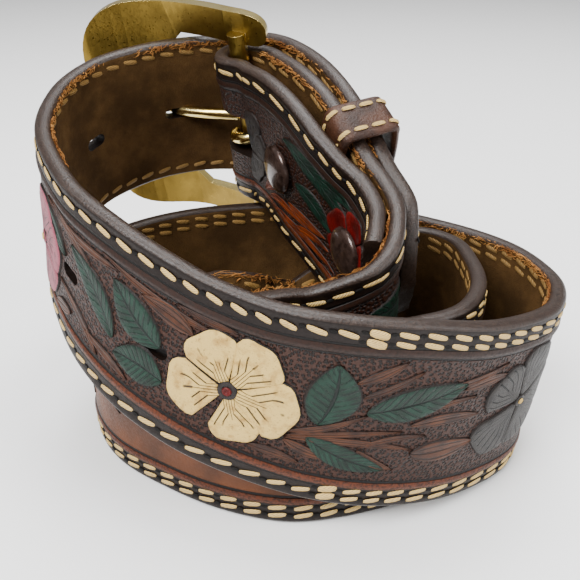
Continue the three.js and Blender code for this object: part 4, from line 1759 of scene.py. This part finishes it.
@dataclass(frozen=True)
class Keeper:
    """Stitched leather loop that holds the tip."""

    length: float = 9.5
    leather: float = 1.8
    distance: float = 32.5
    room: float = 1.0
    arch: float = 2.6
    drop: float = 0.28
    roll: float = 0.8
    stitch_inset: float = 1.9
    stitch_pitch: float = 4.2
    stitch_length: float = 3.3
    stitch_half: float = 0.5
    stitch_proud: float = 0.25
    stitch_lift: float = 0.3
    seam_gap: float = 2.0
    spindle: Spindle = Spindle((-0.5, -0.4, -0.2, 0.2, 0.4, 0.5), (0.2, 0.8, 1, 1, 0.8, 0.2))

    def _outline(self, path: BeltPath, grow: float) -> np.ndarray:
        """Closed outline of the loop in its own plane.

        Args:
            path: the belt's path.
            grow: how far it lies outside the loop's inner face.

        Returns:
            Points, outward and upward from the strap's middle.
        """
        half = SIZES.end_width / 2 + self.room + grow
        inner = -SIZES.leather / 2 - self.room - grow
        outer = float(path.tip_off(self.distance)) + SIZES.leather / 2 + self.room + grow
        corner = self.room + grow
        side = half - corner
        few, many = np.linspace(0, 1, 7), np.linspace(0, 1, 40)[1:-1]
        return np.vstack([
            curve(few, (inner, -side), (inner, -half), (inner + corner, -half)),
            curve(few, (outer - corner, -half), (outer, -half), (outer, -side)),
            curve(many, (outer, -side), (outer + 2 * self.arch, 0), (outer, side)),
            curve(few, (outer, side), (outer, half), (outer - corner, half)),
            curve(few, (inner + corner, half), (inner, half), (inner, side)),
            np.c_[np.full(24, inner), np.linspace(side, -side, 26)[1:-1]]])

    def _place(self, path: BeltPath, flat: np.ndarray, z: np.ndarray) -> np.ndarray:
        """Bring points of the loop's plane to their place.

        Args:
            path: the belt's path.
            flat: points, outward and upward.
            z: how far each is moved along the strap.

        Returns:
            The places in metres.
        """
        at = path.frames(np.array([self.distance]))
        out, up = at.out[0], at.up[0]
        origin = at.middle[0] - up * self.drop
        return (origin + flat[..., :1] * out + flat[..., 1:] * up
                + z[..., None] * np.cross(out, up)) * MM

    def build_loop(self, path: BeltPath, leather: Material) -> Piece:
        """Make the loop, a band with rolled edges.

        Args:
            path: the belt's path.
            leather: its finish.

        Returns:
            The loop.
        """
        inner, outer = self._outline(path, 0.0), self._outline(path, self.leather)
        angles = np.radians(np.arange(0, 91, 30))
        z = self.length / 2 - self.roll + self.roll * np.sin(angles)
        depth = 1 - (self.roll - self.roll * np.cos(angles)) / self.leather
        side = np.c_[np.r_[z, z[::-1]], np.r_[depth, 1 - depth[::-1]]]
        section = np.vstack([side, side[::-1] * (-1, 1)])
        flat = inner[:, None] + (outer - inner)[:, None] * section[:, 1:]
        draft = Draft("keeper_leather")
        draft.grid(self._place(path, flat, section[:, 0]), 0, (True, True))
        return draft.build([leather], 50)

    def build_seam(self, path: BeltPath, thread: Material) -> Piece:
        """Make the stitches along both edges of the loop.

        Args:
            path: the belt's path.
            thread: their finish.

        Returns:
            The stitches as one piece.
        """
        outer = self._outline(path, self.leather)
        closed = np.vstack([outer, outer[:1]])
        runs = running_length(closed)

        def at(spots: np.ndarray) -> np.ndarray:
            """Points of the outline at lengths round it."""
            return np.c_[[np.interp(spots % runs[-1], runs, closed[:, k]) for k in (0, 1)]].T

        draft = Draft("keeper_stitches")
        along, girth, around = self.spindle.rings()
        lift = self.stitch_proud * girth + self.stitch_lift * girth * np.sin(around)
        for run in np.arange(0, runs[-1] - self.seam_gap, self.stitch_pitch):
            spots = run + along[:, 0] * self.stitch_length
            flat = at(spots)
            ahead = at(spots + 0.2) - flat
            normal = unit(np.c_[ahead[:, 1], -ahead[:, 0]])
            raised = flat[:, None] + lift[..., None] * normal[:, None]
            coords = np.dstack(np.broadcast_arrays(spots[:, None], np.cos(around)))
            for edge in (-1, 1):
                z = edge * (self.length / 2 - self.stitch_inset) \
                    + self.stitch_half * girth * np.cos(around)
                draft.tube(self._place(path, raised, z), 0, 0, belt=coords)
        return draft.build([thread], 60)


@dataclass(frozen=True)
class Snap:
    """Domed snap through the folded end and the strap."""

    node: str
    distance: float
    across: float
    radius: float = 5.6
    height: float = 2.4
    rim: float = 0.7
    rim_round: float = 0.3
    post: float = 1.8
    back_radius: float = 4.2
    back_height: float = 0.9
    sink: float = 0.3
    cap_sink: float = 0.05

    def build(self, path: BeltPath, material: Material) -> Piece:
        """Turn the snap's half section round its post.

        Args:
            path: the belt's path.
            material: its finish.

        Returns:
            The snap.
        """
        at = path.frames(np.array([self.distance]))
        inward = -at.out[0]
        origin = at.middle[0] + at.up[0] * self.across
        back = -SIZES.leather / 2 + self.sink
        base = float(path.fold_off(self.distance)) + SIZES.leather / 2 + SIZES.fit
        crown = self.height - self.rim
        dome = [(self.radius * math.cos(a), base + self.rim + crown * math.sin(a))
                for a in np.radians(np.arange(0, 90, 10))]
        section = [(self.back_radius, back), (self.back_radius, back + self.back_height),
                   (self.post, back + self.back_height), (self.post, base - self.cap_sink),
                   (self.radius - self.rim_round, base), (self.radius, base + self.rim_round),
                   *dome]
        made = turned_piece(self.node + "_cap", section, material)
        axes = Matrix((at.travel[0], np.cross(inward, at.travel[0]), inward)).transposed()
        made.data.transform(Matrix.Translation(Vector(origin * MM)) @ axes.to_4x4())
        face_out(made)
        smooth_by_angle(made, 40)
        return made


@dataclass(frozen=True)
class Camera:
    """Where the photo was taken from, in millimetres and degrees."""

    back: float = 156.0
    height: float = 118.0
    pitch: float = 27.6
    focal_px: float = 770.0
    sensor: float = 36.0
    nearest: float = 5.0

    def build(self, path: BeltPath) -> None:
        """Put the camera at the photo's place.

        Args:
            path: the belt's path.
        """
        data = bpy.data.cameras.new("camera")
        data.sensor_width = self.sensor
        data.lens = self.sensor * self.focal_px / IMAGE_SIDE
        data.clip_start = self.nearest * MM
        camera = bpy.data.objects.new("camera", data)
        bpy.context.collection.objects.link(camera)
        camera.location = Vector((path.shift[0], path.shift[1] - self.back, self.height)) * MM
        camera.rotation_euler = (math.radians(90 - self.pitch), 0, 0)
        bpy.context.scene.camera = camera


class Light(NamedTuple):
    """Soft square light, with its place and side in metres and its power in watts."""

    name: str
    place: tuple[float, float, float]
    side: float
    power: float


@dataclass(frozen=True)
class Studio:
    """Pale floor, bright surround and soft lights, as in the photo."""

    floor_side: float = 6.0
    paper: str = "f4f4f4"
    surround: float = 0.42
    aim: tuple[float, float, float] = (0, 0, 0.04)
    lights: tuple[Light, ...] = (
        Light("key", (-0.3, -0.4, 0.62), 0.4, 11.0),
        Light("fill", (0.55, -0.3, 0.45), 0.4, 4.5),
        Light("top", (0.05, 0.2, 0.75), 0.45, 8.0),
    )

    def build(self) -> None:
        """Set up the floor, the surround and the lights."""
        bpy.ops.object.select_all(action="DESELECT")
        bpy.ops.mesh.primitive_plane_add(size=self.floor_side, location=(0, 0, 0))
        floor = bpy.context.active_object
        floor.name = "floor"
        paint = Paint("floor_paper")
        floor.data.materials.append(paint.finish(self.paper, 0.9, paint.noise(2, 2), 0.02))
        world = bpy.data.worlds.new("surround")
        world.use_nodes = True
        background = world.node_tree.nodes["Background"]
        background.inputs[0].default_value = (1, 1, 1, 1)
        background.inputs[1].default_value = self.surround
        bpy.context.scene.world = world
        for light in self.lights:
            data = bpy.data.lights.new(light.name, "AREA")
            data.size, data.energy = light.side, light.power
            lamp = bpy.data.objects.new(light.name, data)
            bpy.context.collection.objects.link(lamp)
            lamp.location = light.place
            aim = Vector(self.aim) - Vector(light.place)
            lamp.rotation_euler = aim.to_track_quat("-Z", "Y").to_euler()


def hand_over(made: Piece, slot: str, node: str = "") -> None:
    """Hand a piece to the frame and report it.

    Args:
        made: the piece.
        slot: not used.
        node: the solid that it stands for, or nothing where it only lies on one.
    """
    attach(made, "root")
    if node:
        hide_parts(node)
    LOG.info("%s: %d triangles", made.name, sum(len(p.vertices) - 2 for p in made.data.polygons))


def main() -> None:
    """Build the dressed belt, piece by piece."""
    logging.basicConfig(level=logging.INFO)
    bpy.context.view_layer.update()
    path = BeltPath()
    Camera().build(path)
    Studio().build()

    leather = [TooledGrain().paint(), Suede().paint(), RubbedEdge().paint()]
    hand_over(Strap(path).build(leather), "strap", "strap")

    seams = Seams(path)
    cream = WaxedThread("thread_cream", "d0b070", "7d5a2c").paint()
    tan = WaxedThread("thread_tan", "8a6a38", "4f3818").paint()
    hand_over(seams.build(Side.GRAIN, cream, "stitches_face"), "strap")
    hand_over(seams.build(Side.FLESH, tan, "stitches_back"), "strap")

    # One finish for each Dye, in its order.
    dyes = [finish.paint() for finish in (
        PlainLeather("cut_outline", "1c100b", "0c0604"),
        DyedLeaf(),
        DyedPetal("petal_cream", "cbab62", "a37f40", "241206"),
        CarvedStem("stem_orange", "4a2814", "28130a"),
        DyedPetal("petal_grey", "2c2927", "151211", "030202", 13.0, 0.52),
        DyedPetal("petal_pink", "8a4452", "5e2833", "1d080b"),
        PlainLeather("petal_red", "6a0c0a", "360504", 0.4),
        CarvedStem("stem_amber", "7c320a", "401604"),
        DyedPetal("petal_slate", "221c1a", "100c0b", "050404"),
    )]
    hand_over(Tooling(path).build(dyes), "strap")

    cast = Brass("brass_cast", "8f7636", "76602a", 0.34, 0.015).paint()
    polished = Brass("brass_polished", "f2dd98", "e3c878", 0.17, 0.006).paint()
    buckle = Buckle()
    hand_over(buckle.build_frame(path, cast, polished), "buckle_frame", "buckle_frame")
    hand_over(buckle.build_tongue(polished), "tongue", "tongue")

    keeper = Keeper()
    loop_leather = PlainLeather("leather_loop", "452a1c", "24130b", 0.42).paint()
    hand_over(keeper.build_loop(path, loop_leather), "keeper_loop", "keeper_loop")
    hand_over(keeper.build_seam(path, cream), "keeper_loop")

    enamel = CapEnamel().paint()
    for snap in (Snap("snap_1", 24.5, 0.0), Snap("snap_2", 52.0, 1.5)):
        hand_over(snap.build(path, enamel), snap.node, snap.node)
    fibre = PlainLeather("leather_fibre", "a8763c", "6e4018", 0.85).paint()
    hand_over(Fuzz().build(path, fibre), "strap")


if __name__ == "__main__":
    main()
